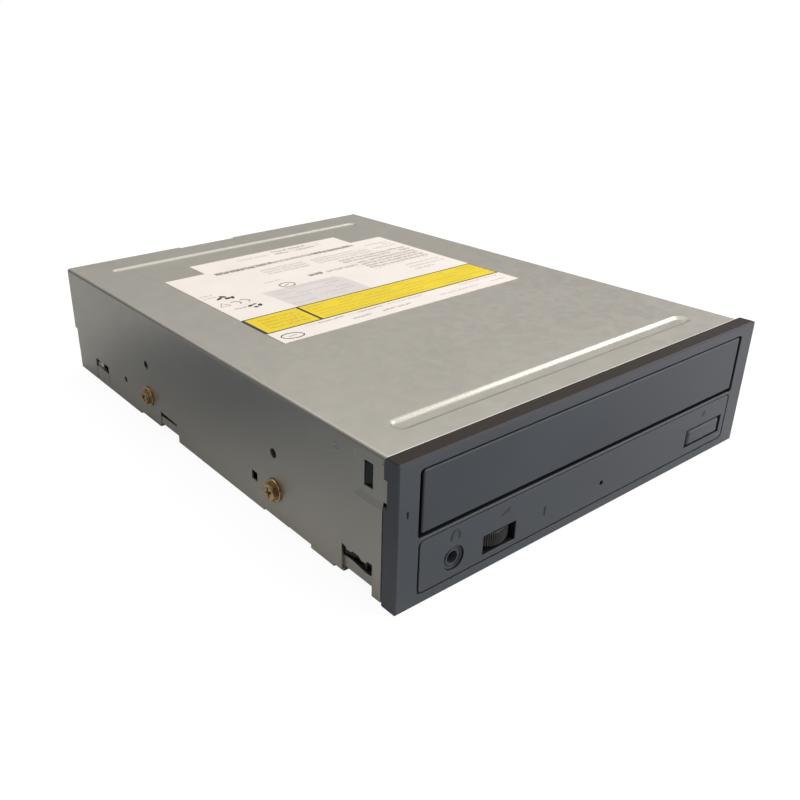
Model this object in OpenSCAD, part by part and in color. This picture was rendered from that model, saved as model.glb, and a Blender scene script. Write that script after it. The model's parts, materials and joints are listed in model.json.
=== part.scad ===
// Half-height optical disc drive for a 5.25 inch bay, with tray loader, traverse and parallel interface.
// X is the width (0 in the middle), Y the depth (0 at the bezel's back face, front is -Y), Z is up.
// All sizes are in millimetres.

/* [Case] */
// width of the folded steel case
case_w = 146.05; // [145.6:0.05:146.6]
// depth of the case behind the bezel
case_l = 192.5; // [190:0.5:200]
// height of the case from its underside to the top sheet
case_h = 41.2; // [40.8:0.1:42]
// thickness of the sheet steel
sheet_t = 0.8; // [0.7:0.05:0.9]
// outside radius of the long folds
fold_r = 1.1; // [1:0.1:1.4]
// width of the pressed stiffening grooves in the top
groove_w = 6.3; // [5:0.1:6.8]
// depth of the pressed grooves
groove_d = 0.7; // [0.5:0.1:0.9]
// distance from the ends of the pressed grooves to the case's sides
groove_end = 11.025; // [9:0.025:18]
// radius of the tapped mounting holes
mount_r = 1.5; // [1.4:0.05:1.6]
// how much thicker the guide screws' thread is than a mounting hole, on the radius
guide_grow = 0.2; // [0.18:0.01:0.3]

/* [Bezel] */
// how far the bezel stands out past each side of the case
bezel_side = 0.975; // [0.75:0.025:1.25]
// how far the bezel stands above the case
bezel_top = 0.5; // [0.2:0.1:1]
// thickness of the bezel
bezel_t = 4.8; // [4.4:0.1:5.4]
// thickness of the bezel's front skin
skin_t = 2.0; // [1.8:0.1:2.2]
// width of the bezel's frame on each side of the tray door's opening
frame_side = 6.7; // [6.4:0.1:7]
// height of the opening for the tray door
mouth_h = 19; // [18.8:0.1:19.2]
// gap above the tray door
door_gap = 0.6; // [0.4:0.1:0.8]
// gap below the tray door and at its ends
door_low_gap = 1.2; // [1:0.1:1.4]
// thickness of the tray door
door_t = 3.2; // [3:0.1:3.3]
// width of the eject button
button_w = 18.4; // [17.6:0.2:18.8]
// height of the eject button
button_h = 5.3; // [5:0.1:5.5]
// gap between the button and its hole
button_gap = 0.45; // [0.3:0.05:0.5]
// radius of the headphone socket's bore
jack_r = 1.8; // [1.75:0.01:1.85]
// radius of the volume thumbwheel
wheel_r = 8.5; // [8:0.1:8.7]
// height of the volume thumbwheel
wheel_h = 4.6; // [4:0.1:4.8]
// radius of the emergency eject pinhole
pinhole_r = 0.8; // [0.6:0.05:1]

/* [Tray] */
// distance of the disc's centre behind the bezel's back face
disc_y = 72; // [71.5:0.1:72.5]
// radius of the tray's recess for a large disc
recess_r = 60.8; // [60.5:0.1:61]
// radius of the inner recess for a small disc
small_r = 40.8; // [40.5:0.1:41.2]
// how much narrower the tray is than its opening on each side
tray_side = 3.8; // [3.7:0.05:4]
// room between the closed tray and the rear of the case
tray_rear = 10.5; // [8.5:0.5:16]
// width of the slot that clears the turntable
slot_w = 44; // [42:0.5:48]
// sliding gap between the tray and the frame's ledges
tray_gap = 0.15; // [0.1:0.05:0.25]
// how far the tray comes out
tray_travel = 140; // [136:1:140]

/* [Loader gears] */
// gear module of the rack and its gear
rack_m = 1; // [1:0.05:1]
// thinning of every tooth at the pitch line
backlash = 0.16; // [0.12:0.02:0.2]
// thickness of the toothed rims
rim_t = 1.5; // [1.3:0.1:1.6]
// outside radius of the driven pulley
pulley_r = 12; // [11:0.1:12.2]
// outside radius of the motor's pulley
motor_pulley_r = 3.6; // [3.4:0.1:4]

/* [Traverse] */
// running clearance of shafts in their bores, on the radius
run_gap = 0.05; // [0.03:0.01:0.08]
// radius of the guide rods
rod_r = 1.5; // [1.4:0.05:1.6]
// distance of each guide rod from the middle
rod_x = 23.5; // [23.2:0.1:24]
// radius of the turntable
turntable_r = 15; // [14:0.2:15.4]
// radius of the spindle motor's rotor
rotor_r = 12; // [11:0.2:12.4]
// radius of the clamper
clamper_r = 14; // [13.5:0.1:15]
// radius of the objective lens
lens_r = 2.4; // [2:0.1:2.8]

/* [Boards] */
// thickness of the circuit boards
board_t = 1.6; // [1.5:0.05:1.7]
// gap between the main board and the case's side walls
board_side = 13.225; // [13:0.025:14.5]
// gap between the front board and the case's side walls
front_board_side = 11.225; // [11:0.025:12]
// height of the interface header
header_h = 9; // [8.6:0.1:9.4]
// height of the power socket
power_h = 10.6; // [10.2:0.1:11]

/* [Label] */
// distance from the label to the left side of the case
label_left = 21.725; // [15:0.025:30]
// distance from the label to the right side of the case
label_right = 20.125; // [15:0.025:30]
// distance from the label's front edge to the bezel
label_front = 72.2; // [30:0.1:80]
// distance from the label's wide part to the rear of the case
label_rear = 41.5; // [36:0.1:60]
// length of the label's narrower tab
label_tab = 12.2; // [4:0.1:16]

/* [Hidden] */
$fn = 48;
e = 0.01;
// sheet metal colour
steel = [0.67, 0.66, 0.63];
black = [0.16, 0.17, 0.18];
// case planes
side_x = case_w / 2;
in_x = side_x - sheet_t;
top_z = case_h;
in_z = case_h - sheet_t;
seat = 0.05;
groove_l = case_w - 2 * groove_end;
groove_y = [11.3, case_l - 15.3];
// front edges of the cover's sides and top sheet
side_y0 = 1.5;
top_y0 = 0.2;
// standard positions of the mounting holes
hole_y1 = 47.4;
hole_y2 = 126.65;
hole_zl = 10;
hole_zu = 21.84;
hole_bx = side_x - 3.175;
// bezel planes
bezel_w = case_w + 2 * bezel_side;
bezel_h = case_h + bezel_top;
bezel_x = bezel_w / 2;
mouth_w = bezel_w - 2 * frame_side;
front_y = -bezel_t;
skin_y = front_y + skin_t;
mouth_z0 = 19.6;
mouth_z1 = mouth_z0 + mouth_h;
door_w = mouth_w - 2 * door_low_gap;
door_z0 = mouth_z0 + door_low_gap;
door_z1 = mouth_z1 - door_gap;
door_y1 = front_y + door_t;
jack_x = -bezel_x + 19.2;
jack_z = 9;
jack_nose_r = 3.45;
wheel_x = -bezel_x + 35.75;
wheel_y = front_y - 0.1 + wheel_r;
wheel_z = 5.7;
led_x = -bezel_x + 53.04;
led_z = 9.25;
pin_x = 3.6;
pin_z = 9.1;
button_x = bezel_x - 19.35;
button_z = 9.2;
// tray planes
tray_x = mouth_w / 2 - tray_side;
tray_l = case_l - tray_rear;
tray_z0 = 22;
floor_z0 = 25;
recess_z = 27;
small_z = 26.1;
rim_z = 30.6;
lip_z0 = 22.7;
tray_y0 = door_y1;
// frame planes
wall_x = tray_x + 0.7;
wall_t = 2;
deck_z0 = 17.9;
deck_z1 = 19.9;
ledge_z = tray_z0 - tray_gap;
guide_z = rim_z + tray_gap;
bridge_z = 33.2;
leg_x = tray_x;
leg_y = [36, 96, case_l - 10.5];
tab_y = [24, case_l - 36.5];
tab_x = side_x - 7.025;
// gears
rack_x = -tray_x + 13.5;
rack_t = 20;
gear_x = rack_x + rack_m * rack_t / 2;
gear_y = 20;
big_m = 0.8;
big_t = 45;
pin_t = 15;
mesh_a = 10;
mesh_d = big_m * (big_t + pin_t) / 2;
pul_x = gear_x + mesh_d * cos(mesh_a);
pul_y = gear_y + mesh_d * sin(mesh_a);
motor_x = 18;
motor_y = 30;
gear_z1 = 20.25;
gear_z2 = 22.15;
gear_z3 = 24.75;
belt_t = 1;
belt_r1 = pulley_r - 0.9;
belt_r2 = motor_pulley_r - 0.9;
post_r = 2;
// traverse
hinge_y = 150;
hinge_z = 13;
hinge_r = 2;
sub_x = 42;
sub_z0 = 11;
sub_z1 = 15;
sub_y0 = 50;
sub_y1 = 153;
cam_y0 = 44.6;
cam_t = 3.2;
cam_run = 20;
tilt_rad = 4 * PI / 180;
cam_drop = (hinge_y - cam_y0 - cam_t / 2) * tilt_rad;
cam_z0 = 3.2;
cam_z1 = 17.5;
cam_x0 = -46;
cam_x1 = 26;
cam_pin_r = 1.5;
cam_pin_x = [-18, 18];
bush_x = 37.5;
bush_y = [59, 143];
plate_z0 = 17.5;
plate_z1 = 18.7;
disc_z = 28.2;
hub_r = 7.4;
rod_z = 14.7;
rod_y0 = 86;
rod_y1 = 142;
guide_r = mount_r + guide_grow;
ear_t = 1.2;
pick_y = disc_y + 28;
pick_y0 = pick_y - 13;
pick_y1 = pick_y + 12;
pick_in = 4;
pick_out = 29;
scoop_r = rotor_r + 3.4;
screw_x = 31;
screw_z = 13.2;
screw_r = 1.5;
// boards
main_z = 4;
main_y0 = 104;
main_y1 = case_l - 3;
main_x = in_x - board_side;
front_z = 3.4;
front_y0 = 2;
front_y1 = 21;
front_x = in_x - front_board_side;
stud_x = 55;
stud_y = [112, case_l - 20.5];
fstud_x = [-30, 30];
fstud_y = 15;
conn_y1 = case_l - 0.3;
power_x = -46.4;
power_w = 22.6;
power_d = 17;
header_x = -3.6;
header_w = 58.4;
header_d = 13;
jumper_x = 31.4;
audio_x = 43.2;
digital_x = 54.2;
rear_z = main_z + board_t + power_h + 0.5;

// plain building blocks

module box(x0, x1, y0, y1, z0, z1) {
  translate([x0, y0, z0]) cube([x1 - x0, y1 - y0, z1 - z0]);
}

module rod_x_axis(x0, x1, y, z, r) {
  translate([x0, y, z]) rotate([0, 90, 0]) cylinder(h = x1 - x0, r = r);
}

module rod_y_axis(x, y0, y1, z, r) {
  translate([x, y0, z]) rotate([-90, 0, 0]) cylinder(h = y1 - y0, r = r);
}

module rod_z_axis(x, y, z0, z1, r) {
  translate([x, y, z0]) cylinder(h = z1 - z0, r = r);
}

module both_sides() {
  children();
  mirror([1, 0, 0]) children();
}

// long box whose two upper edges are rounded
module folded_block(half, z0, z1, y0, y1, r) {
  box(-half, half, y0, y1, z0, z1 - r);
  box(-half + r, half - r, y0, y1, z0, z1);
  rod_y_axis(half - r, y0, y1, z1 - r, r);
  rod_y_axis(-half + r, y0, y1, z1 - r, r);
}

// plate in a front view whose four corners are rounded
module round_plate(half, y0, y1, z0, z1, r) {
  box(-half + r, half - r, y0, y1, z0, z1);
  box(-half, half, y0, y1, z0 + r, z1 - r);
  for (x = [-half + r, half - r], z = [z0 + r, z1 - r]) rod_y_axis(x, y0, y1, z, r);
}

// bead with rounded flanks and round ends, sunk from z by d
module bead(l, y, z, w, d) {
  steps = [[0, 0], [0.1, 0.08], [0.22, 0.32], [0.34, 0.68], [0.46, 0.92], [0.58, 1]];
  half = l / 2 - w / 2;
  edge = [for (s = steps) [w / 2 * (1 - s[0]), -d * s[1]]];
  n = len(edge);
  translate([-half, y, z]) rotate([90, 0, 90]) linear_extrude(height = 2 * half)
    polygon([for (i = [0 : 2 * n - 1]) i < n ? edge[i] : [-edge[2 * n - 1 - i][0], edge[2 * n - 1 - i][1]]]);
  for (x = [-half, half]) translate([x, y, z]) rotate_extrude()
    polygon([for (i = [0 : n + 1]) i < n ? edge[i] : [0, i == n ? -d : 0]]);
}

// drafted channel with round ends, sunk from z by d
module channel(len, y, z, w0, w1, d) {
  half = len / 2 - w0 / 2;
  translate([-half, y, z]) rotate([90, 0, 90]) linear_extrude(height = 2 * half)
    polygon([[-w0 / 2, 0], [-w1 / 2, -d], [w1 / 2, -d], [w0 / 2, 0]]);
  translate([half, y, z - d]) cylinder(h = d, r1 = w1 / 2, r2 = w0 / 2);
  translate([-half, y, z - d]) cylinder(h = d, r1 = w1 / 2, r2 = w0 / 2);
}

// gear outlines with involute flanks
function inv_deg(a) = tan(a) * 180 / PI - a;
function half_angle(r, rb, rp, t, bl) =
  90 / t - bl / 2 / rp * 180 / PI + inv_deg(20) - inv_deg(acos(min(1, rb / r)));
function polar(r, a) = [r * cos(a), r * sin(a)];
function gear_points(t, m, bl, add = 0.9, ded = 1.2) =
  let (rp = t * m / 2, rb = rp * cos(20), ra = rp + add * m, rr = rp - ded * m, rs = max(rr, rb) + 0.001)
  [for (k = [0 : t - 1]) let (c = 360 * k / t)
    each concat(
      rr < rb ? [polar(rr, c - half_angle(rs, rb, rp, t, bl))] : [],
      [for (i = [0 : 3]) let (r = rs + (ra - rs) * i / 3) polar(r, c - half_angle(r, rb, rp, t, bl))],
      [for (i = [3 : -1 : 0]) let (r = rs + (ra - rs) * i / 3) polar(r, c + half_angle(r, rb, rp, t, bl))],
      rr < rb ? [polar(rr, c + half_angle(rs, rb, rp, t, bl))] : [])];

module gear_rim(t, m, bl, z0, z1, turn) {
  translate([0, 0, z0]) rotate([0, 0, turn]) linear_extrude(height = z1 - z0)
    polygon(gear_points(t, m, bl));
}

// countersunk screw seen from below, driven up from z0
module flat_screw(x, y, z0, len, grow) {
  translate([x, y, z0]) cylinder(h = 1.5, r1 = 2.9 + grow, r2 = 1.4 + grow);
  translate([x, y, z0 + 1.5 - e]) cylinder(h = len, r = 1.4 + grow);
}

// case

// hole through a side wall with an outline in depth and height
module side_hole(pts) {
  translate([in_x - 1, 0, 0]) rotate([90, 0, 90]) linear_extrude(height = sheet_t + 2) polygon(pts);
}

// room outside the set-in strip by the latch window, with sloping ends
module joggle() {
  intersection() {
    linear_extrude_z(26, 39) polygon([[side_x - 0.35, -2], [side_x - 0.35, 9.9], [side_x + e, 12.3],
      [side_x + 1, 12.3], [side_x + 1, -2]]);
    translate([0, 14, 0]) rotate([90, 0, 0]) linear_extrude(height = 18)
      polygon([[side_x - 0.35, 39], [side_x - 0.35, 28.6], [side_x + e, 26.4], [side_x + 1, 26.4], [side_x + 1, 39]]);
  }
}

module side_cuts() {
  for (y = [hole_y1, hole_y2]) {
    rod_x_axis(in_x - 3, side_x + 1, y, hole_zl, mount_r);
    rod_x_axis(in_x - 3, side_x + 1, y, hole_zu, mount_r);
  }
  box(in_x - 1, side_x + 1, 56.3, 59.3, 8.4, 11.4);
  rod_x_axis(in_x - 1, side_x + 1, 145.9, 9.7, 1.2);
  // rear slot with its tongue
  box(in_x - 1, side_x + 1, case_l - 30.5, case_l - 18.5, 6, 9.2);
  box(in_x - 1, side_x + 1, case_l - 19.1, case_l - 18.5, -1, 6.1);
  box(in_x - 1, side_x + 1, case_l - 30.5, case_l - 29.9, 2, 6.1);
  // angled slot
  box(in_x - 1, side_x + 1, 117.7, 118.5, -1, 7.5);
  side_hole([[106.6, 5.95], [117.8, 5.6], [117.8, 7.1], [106.6, 6.7]]);
  // latch slot and bottom edge steps
  side_hole([[4.75, -1], [16.85, -1], [16.85, 9.4], [15.2, 9.1], [14.7, 8.45], [13, 8.55], [12.4, 9.1],
    [10, 9.1], [8.9, 8.35], [7.1, 8.5], [6.6, 9.45], [4.75, 9.45]]);
  box(in_x - 1, side_x + 1, 118, 131.5, -1, 1.6);
  box(in_x - 1, side_x + 1, 131.4, 134.8, -1, 1);
  box(in_x - 1, side_x + 1, 105.7, 117.8, -1, 2.9);
  box(in_x - 1, side_x + 1, 53.3, 105.8, -1, 0.4);
  box(in_x - 1, side_x + 1, 30.2, 53.4, -1, 1.2);
  box(in_x - 1, side_x + 1, 16.8, 20, -1, 0.9);
  // upper latch window
  box(in_x - 1, side_x + 1, 5.3, 8.6, 30.4, 37.3);
  // lower rear corner is set in
  box(in_x - 1, side_x + 1, case_l - 2, case_l + 1, -1, 8);
  // front edge of the side behind the bezel
  box(in_x - 1, side_x + 1, -2, side_y0, -1, 29);
  box(in_x - 1, side_x + 1, -2, side_y0, 36, top_z - fold_r - 0.6);
}

module top_cover() {
  color(steel) difference() {
    union() {
      difference() {
        folded_block(side_x, 0.1, top_z, top_y0, case_l, fold_r);
        folded_block(in_x, -1, in_z, -2, case_l - sheet_t, fold_r - sheet_t + 0.1);
      }
      // joggled strip by the latch window keeps the sheet's thickness
      both_sides() box(in_x - 0.35, in_x + e, side_y0, 12.3, 27.2, 39);
      // forward tabs
      both_sides() box(in_x, side_x - 0.35, -1, top_y0 + e, 29, 36);
      // collars of the side holes
      both_sides() for (y = [hole_y1, hole_y2], z = [hole_zl, hole_zu])
        rod_x_axis(in_x - 1.4, in_x + e, y, z, mount_r + 0.9);
      // inward screw tabs at the bottom
      both_sides() for (y = tab_y) box(tab_x - 4.5, in_x + e, y - 4, y + 4, sheet_t + seat, 2 * sheet_t + seat);
      // metal pushed down under the grooves
      intersection() {
        union() {
          channel(groove_l + 1, groove_y[0], in_z + e, groove_w + 1, groove_w - 1, groove_d);
          channel(groove_l - 1, groove_y[1], in_z + e, groove_w, groove_w - 2, groove_d);
        }
        box(-in_x, in_x, 1, case_l - 1, in_z - groove_d - 1, in_z + 2 * e);
      }
      // small bumps by the front
      both_sides() for (b = [[19.6, 37], [19, 35.6]]) {
        rod_x_axis(side_x - e, side_x + 0.12, b[0], b[1], 0.65);
        rod_x_axis(side_x, side_x + 0.22, b[0], b[1], 0.4);
      }
    }
    both_sides() side_cuts();
    // the two holes that the guide screws are driven into
    for (y = [hole_y1, hole_y2]) rod_x_axis(-side_x - 1, -in_x + 3, y, hole_zl, guide_r);
    both_sides() joggle();
    bead(groove_l, groove_y[0], top_z + e, groove_w, groove_d);
    bead(groove_l - 2, groove_y[1], top_z + e, groove_w - 1, groove_d);
    // screw tab holes
    both_sides() for (y = tab_y) flat_screw(tab_x, y, 0, 6, 0.05);
    // rear wall stops above the sockets and is notched at the fold
    box(-in_x - 1, in_x + 1, case_l - sheet_t - 1, case_l + 1, -1, rear_z);
    box(-23.2, 3.5, case_l - 1.2, case_l + 1, in_z - 1.2, top_z + 1);
    both_sides() box(in_x - 0.9, in_x + e, case_l - 1.6, case_l + 1, rear_z - 1, in_z - 1);
  }
}

module bottom_plate() {
  plate_x = in_x - seat;
  color(steel) difference() {
    union() {
      box(-plate_x, plate_x, 0.3, case_l - 2.1, 0, sheet_t);
      // upstanding flanges inside the cover's sides
      both_sides() for (s = [[59, 105, 5.6], [case_l - 32, case_l - 3.5, 5.6]])
        box(plate_x - sheet_t, plate_x, s[0], s[1], 0, s[2]);
      // front flanges with a curved upper edge
      both_sides() translate([plate_x - sheet_t, 0, 0]) rotate([90, 0, 90]) linear_extrude(height = sheet_t)
        polygon([[3.2, 0], [19.2, 0], [19.2, 5.6], [16.6, 5.3], [14, 5.4], [11, 5.05], [8.2, 4.6],
          [6.4, 4.8], [5.4, 5.4], [3.2, 5.6]]);
      // rear apron with raised corners
      box(-in_x + 3, in_x - 3, case_l - 2.1 - e, case_l - 0.2, 0, sheet_t);
      box(-in_x + 3, in_x - 3, case_l - 1, case_l - 0.2, 0, 3.4);
      both_sides() box(in_x - 6, in_x, case_l - 1, case_l - 0.2, 0, 7.6);
      both_sides() box(in_x - 6, in_x, case_l - 1.9, case_l - 0.9, 0, sheet_t);
      // collars of the bottom holes
      both_sides() for (y = [hole_y1, hole_y2]) rod_z_axis(hole_bx, y, 0, sheet_t + 1.2, mount_r + 0.8);
      // board studs
      both_sides() for (y = stud_y) rod_z_axis(stud_x, y, sheet_t - e, main_z, 2.8);
      for (x = fstud_x) rod_z_axis(x, fstud_y, sheet_t - e, front_z, 2.5);
      // pressed stiffening pan
      difference() {
        box(-34, 34, 34, 96, 0, sheet_t + 0.5);
        box(-33.2, 33.2, 34.8, 95.2, -1, 0.5);
      }
    }
    box(-33.2, 33.2, 34.8, 95.2, -1, 0.5);
    // windows through the front bends and set-back edges
    both_sides() box(side_x - 8, side_x, 5, 16.9, -1, 2);
    both_sides() box(side_x - 5.4, side_x, 30.2, 42, -1, 2);
    both_sides() box(side_x - 7.8, side_x, 105.7, 121, -1, 2);
    both_sides() for (y = [hole_y1, hole_y2]) rod_z_axis(hole_bx, y, -1, 4, mount_r);
    both_sides() for (y = stud_y) rod_z_axis(stud_x, y, sheet_t + 0.4, main_z + 1, 1.15);
    for (x = fstud_x) rod_z_axis(x, fstud_y, sheet_t + 0.2, front_z + 1, 1.15);
    both_sides() for (y = leg_y) flat_screw(leg_x, y, 0, 6, 0.05);
    both_sides() for (y = tab_y) flat_screw(tab_x, y, 0, 6, 0.05);
  }
}

module guide_screws() {
  color([0.78, 0.66, 0.32]) for (y = [hole_y1, hole_y2]) translate([-side_x, y, hole_zl]) rotate([0, -90, 0])
    difference() {
      union() {
        translate([0, 0, -4.6]) cylinder(h = 4.7, r = guide_r - 0.02);
        cylinder(h = 0.7, r = 3.6);
        translate([0, 0, 0.7 - e]) cylinder(h = 1.5, r1 = 2.95, r2 = 2.6, $fn = 6);
      }
      translate([-0.45, -1.7, 1.2]) cube([0.9, 3.4, 2]);
      translate([-1.7, -0.45, 1.2]) cube([3.4, 0.9, 2]);
    }
}

module case_screws() {
  color([0.6, 0.6, 0.6]) both_sides() {
    for (y = leg_y) difference() {
      flat_screw(leg_x, y, 0.05, 5, 0);
      translate([leg_x - 1.5, y - 0.3, -1]) cube([3, 0.6, 1.7]);
      translate([leg_x - 0.3, y - 1.5, -1]) cube([0.6, 3, 1.7]);
    }
    for (y = tab_y) difference() {
      flat_screw(tab_x, y, 0.05, 1.6, 0);
      translate([tab_x - 1.5, y - 0.3, -1]) cube([3, 0.6, 1.7]);
      translate([tab_x - 0.3, y - 1.5, -1]) cube([0.6, 3, 1.7]);
    }
  }
}

module case_label() {
  color([0.95, 0.93, 0.9]) {
    y1 = case_l - label_rear;
    box(-side_x + label_left, side_x - label_right, label_front, y1, top_z, top_z + 0.12);
    box(-side_x + label_left + 17, side_x - label_right - 15.9, y1 - e, y1 + label_tab, top_z, top_z + 0.12);
  }
}

// bezel and what shows in it

module bezel_block() {
  c = 0.5;
  half = bezel_x;
  intersection() {
    translate([-half, 0, 0]) rotate([90, 0, 90]) linear_extrude(height = bezel_w)
      polygon([[0, 0], [0, bezel_h], [front_y + c, bezel_h], [front_y, bezel_h - c], [front_y, c], [front_y + c, 0]]);
    linear_extrude(height = bezel_h)
      polygon([[-half, 0], [-half, front_y + c], [-half + c, front_y], [half - c, front_y],
        [half, front_y + c], [half, 0]]);
    round_plate(half, front_y, 0, 0, bezel_h, 0.9);
  }
}

module front_bezel() {
  half = bezel_x;
  panel_x = half - 7;
  ribs = [-half + 12, jack_x + 8, wheel_x + 9.25, led_x + 8.96, 12, 30, button_x - 12.15, half - 7.5];
  color(black) difference() {
    union() {
      difference() {
        bezel_block();
        // hollow back of the lower panel
        box(-half + 2.2, half - 2.2, skin_y, 1, 1.8, mouth_z0 - 2);
        // groove that frames the lower panel
        difference() {
          round_plate(panel_x, front_y - 1, front_y + 0.5, 3, 18.9, 1.7);
          round_plate(panel_x - 0.65, front_y - 2, front_y + 1, 3.65, 18.55, 1.1);
        }
      }
      // stiffening ribs behind the panel
      for (x = ribs) box(x - 0.6, x + 0.6, skin_y - e, 0, 1.7, mouth_z0 - 1.9);
      // upper snap arms
      both_sides() box(in_x - 2.6, in_x - 0.5, -1.5, 10.6, 30.8, 36.9);
      both_sides() linear_extrude_z(31, 36.7) polygon([[in_x - 0.6, 5.6], [side_x - 0.45, 8.2], [in_x - 0.6, 8.3]]);
      // lower snap arms
      both_sides() box(in_x - 3, in_x - 1, skin_y - e, 15.6, 6.8, 9);
      both_sides() linear_extrude_z(6.8, 9) polygon([[in_x - 1.1, 10.5], [side_x - 0.2, 15.6], [in_x - 1.1, 15.6]]);
    }
    // tray door opening and its chamfered sill
    round_plate(mouth_w / 2, front_y - 1, 1, mouth_z0, mouth_z1, 1.2);
    translate([-mouth_w / 2 + 1.2, 0, 0]) rotate([90, 0, 90]) linear_extrude(height = mouth_w - 2.4)
      polygon([[front_y - 1, mouth_z0 - 0.3], [front_y, mouth_z0 - 0.25], [front_y + 0.3, mouth_z0 + e],
        [front_y - 1, mouth_z0 + e]]);
    // side notches for the cover's tabs
    both_sides() box(in_x - 0.2, half + 1, -1.15, 1, 28.7, 36.3);
    // socket, thumbwheel, lamp slit, pinhole, button
    rod_y_axis(jack_x, front_y - 1, 1, jack_z, jack_nose_r + 0.12);
    box(wheel_x - 6.15, wheel_x + 6.15, front_y - 1, 1, 5.1, 11);
    box(led_x - 0.45, led_x + 0.45, front_y - 1, 1, led_z - 1.4, led_z + 1.4);
    rod_y_axis(pin_x, front_y - 1, skin_y + 1, pin_z, pinhole_r);
    box(button_x - button_w / 2 - button_gap, button_x + button_w / 2 + button_gap, front_y - 1, 1,
      button_z - button_h / 2 - button_gap, button_z + button_h / 2 + button_gap);
    // moulded tick on the left frame
    box(-half + 2.9, -half + 3.5, front_y - 1, front_y + 0.3, 26.8, 28.8);
  }
}

module linear_extrude_z(z0, z1) {
  translate([0, 0, z0]) linear_extrude(height = z1 - z0) children();
}

module tray_door() {
  half = door_w / 2;
  c = 0.3;
  color(black) {
    difference() {
      intersection() {
        translate([-half, 0, 0]) rotate([90, 0, 90]) linear_extrude(height = door_w)
          polygon([[door_y1, door_z0], [door_y1, door_z1], [front_y + c, door_z1], [front_y, door_z1 - c],
            [front_y, door_z0 + c], [front_y + c, door_z0]]);
        translate([0, 0, door_z0]) linear_extrude(height = door_z1 - door_z0)
          polygon([[-half, door_y1], [-half, front_y + c], [-half + c, front_y], [half - c, front_y],
            [half, front_y + c], [half, door_y1]]);
        round_plate(half, front_y, door_y1, door_z0, door_z1, 0.7);
      }
      // hollow back with a middle rib
      box(-half + 2, -1, door_y1 - 1.1, door_y1 + 1, door_z0 + 13.6, door_z1 - 1.6);
      box(1, half - 2, door_y1 - 1.1, door_y1 + 1, door_z0 + 13.6, door_z1 - 1.6);
    }
  }
}

module eject_button() {
  color(black) {
    // face plate with sloping edges
    difference() {
      intersection() {
        translate([button_x, 0, button_z - button_h / 2]) linear_extrude(height = button_h)
          polygon([[-button_w / 2, skin_y + 0.5], [-button_w / 2, front_y + 0.7], [-button_w / 2 + 1.4, front_y - 0.2],
            [button_w / 2 - 1, front_y - 0.2], [button_w / 2, front_y + 0.7], [button_w / 2, skin_y + 0.5]]);
        translate([button_x - button_w / 2, 0, button_z]) rotate([90, 0, 90]) linear_extrude(height = button_w)
          polygon([[skin_y + 0.5, -button_h / 2], [front_y + 0.7, -button_h / 2], [front_y - 0.2, -button_h / 2 + 0.35],
            [front_y - 0.2, button_h / 2 - 0.75], [front_y + 0.7, button_h / 2], [skin_y + 0.5, button_h / 2]]);
      }
      box(button_x - button_w / 2 + 1.2, button_x + button_w / 2 - 1.2, front_y + 1.2, skin_y + 1,
        button_z - button_h / 2 + 1, button_z + button_h / 2 - 1);
    }
    // flange that rests on the back of the skin
    difference() {
      box(button_x - button_w / 2 - 1.2, button_x + button_w / 2 + 1.2, skin_y, skin_y + 1,
        button_z - button_h / 2 - 1, button_z + button_h / 2 + 1);
      box(button_x - button_w / 2 + 1.2, button_x + button_w / 2 - 1.2, skin_y - 1, skin_y + 0.4,
        button_z - button_h / 2 + 1, button_z + button_h / 2 - 1);
    }
    // post towards the switch
    box(button_x - 1.5, button_x + 1.5, skin_y + 0.9, 2.2, button_z - 1.2, button_z + 1.2);
  }
}

module eject_switch() {
  color([0.25, 0.25, 0.27]) {
    box(button_x - 3, button_x + 3, 4, 7.6, front_z + board_t, button_z + 3);
    rod_y_axis(button_x, 3.05, 4.1, button_z, 1.3);
  }
}

module volume_wheel() {
  ribs = 36;
  color([0.2, 0.21, 0.22]) translate([wheel_x, wheel_y, wheel_z]) difference() {
    union() {
      cylinder(h = wheel_h, r = wheel_r - 0.3);
      linear_extrude(height = wheel_h) polygon([for (i = [0 : 2 * ribs - 1])
        let (a = 180 * i / ribs, r = (i % 2 == 0) ? wheel_r : wheel_r - 0.5) polar(r, a)]);
    }
    translate([0, 0, -1]) cylinder(h = wheel_h + 2, r = 1.5 + run_gap);
    translate([0, 0, wheel_h - 0.8]) cylinder(h = 2, r = 5.5);
  }
}

module volume_pot() {
  color([0.3, 0.3, 0.3]) {
    rod_z_axis(wheel_x, wheel_y, front_z + board_t, wheel_z - 0.1, 4.4);
    rod_z_axis(wheel_x, wheel_y, front_z + board_t, wheel_z + wheel_h - 0.4, 1.5);
    box(wheel_x - 4.4, wheel_x + 4.4, wheel_y, wheel_y + 6, front_z + board_t, wheel_z - 0.1);
  }
}

module headphone_jack() {
  color([0.13, 0.13, 0.14]) difference() {
    union() {
      rod_y_axis(jack_x, front_y + 0.5, 1.6, jack_z, jack_nose_r);
      box(jack_x - 5, jack_x + 5, 1.5, 14.5, front_z + board_t, 13.2);
    }
    rod_y_axis(jack_x, front_y - 1, 13, jack_z, jack_r);
    difference() {
      rod_y_axis(jack_x, front_y, front_y + 0.8, jack_z, 2.9);
      rod_y_axis(jack_x, front_y - 1, front_y + 2, jack_z, 2.3);
    }
  }
}

module light_pipe() {
  color([0.8, 0.85, 0.8]) {
    box(led_x - 0.4, led_x + 0.4, front_y + 0.1, 1.6, led_z - 1.35, led_z + 1.35);
    box(led_x - 1.8, led_x + 1.8, -0.6, 1.8, led_z - 1.8, led_z + 1.8);
  }
}

module status_led() {
  color([0.3, 0.8, 0.35]) {
    box(led_x - 1.5, led_x + 1.5, 3, 5.2, front_z + board_t, led_z + 1.5);
    rod_y_axis(led_x, 1.9, 3.1, led_z, 1.2);
  }
}

// loader

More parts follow.
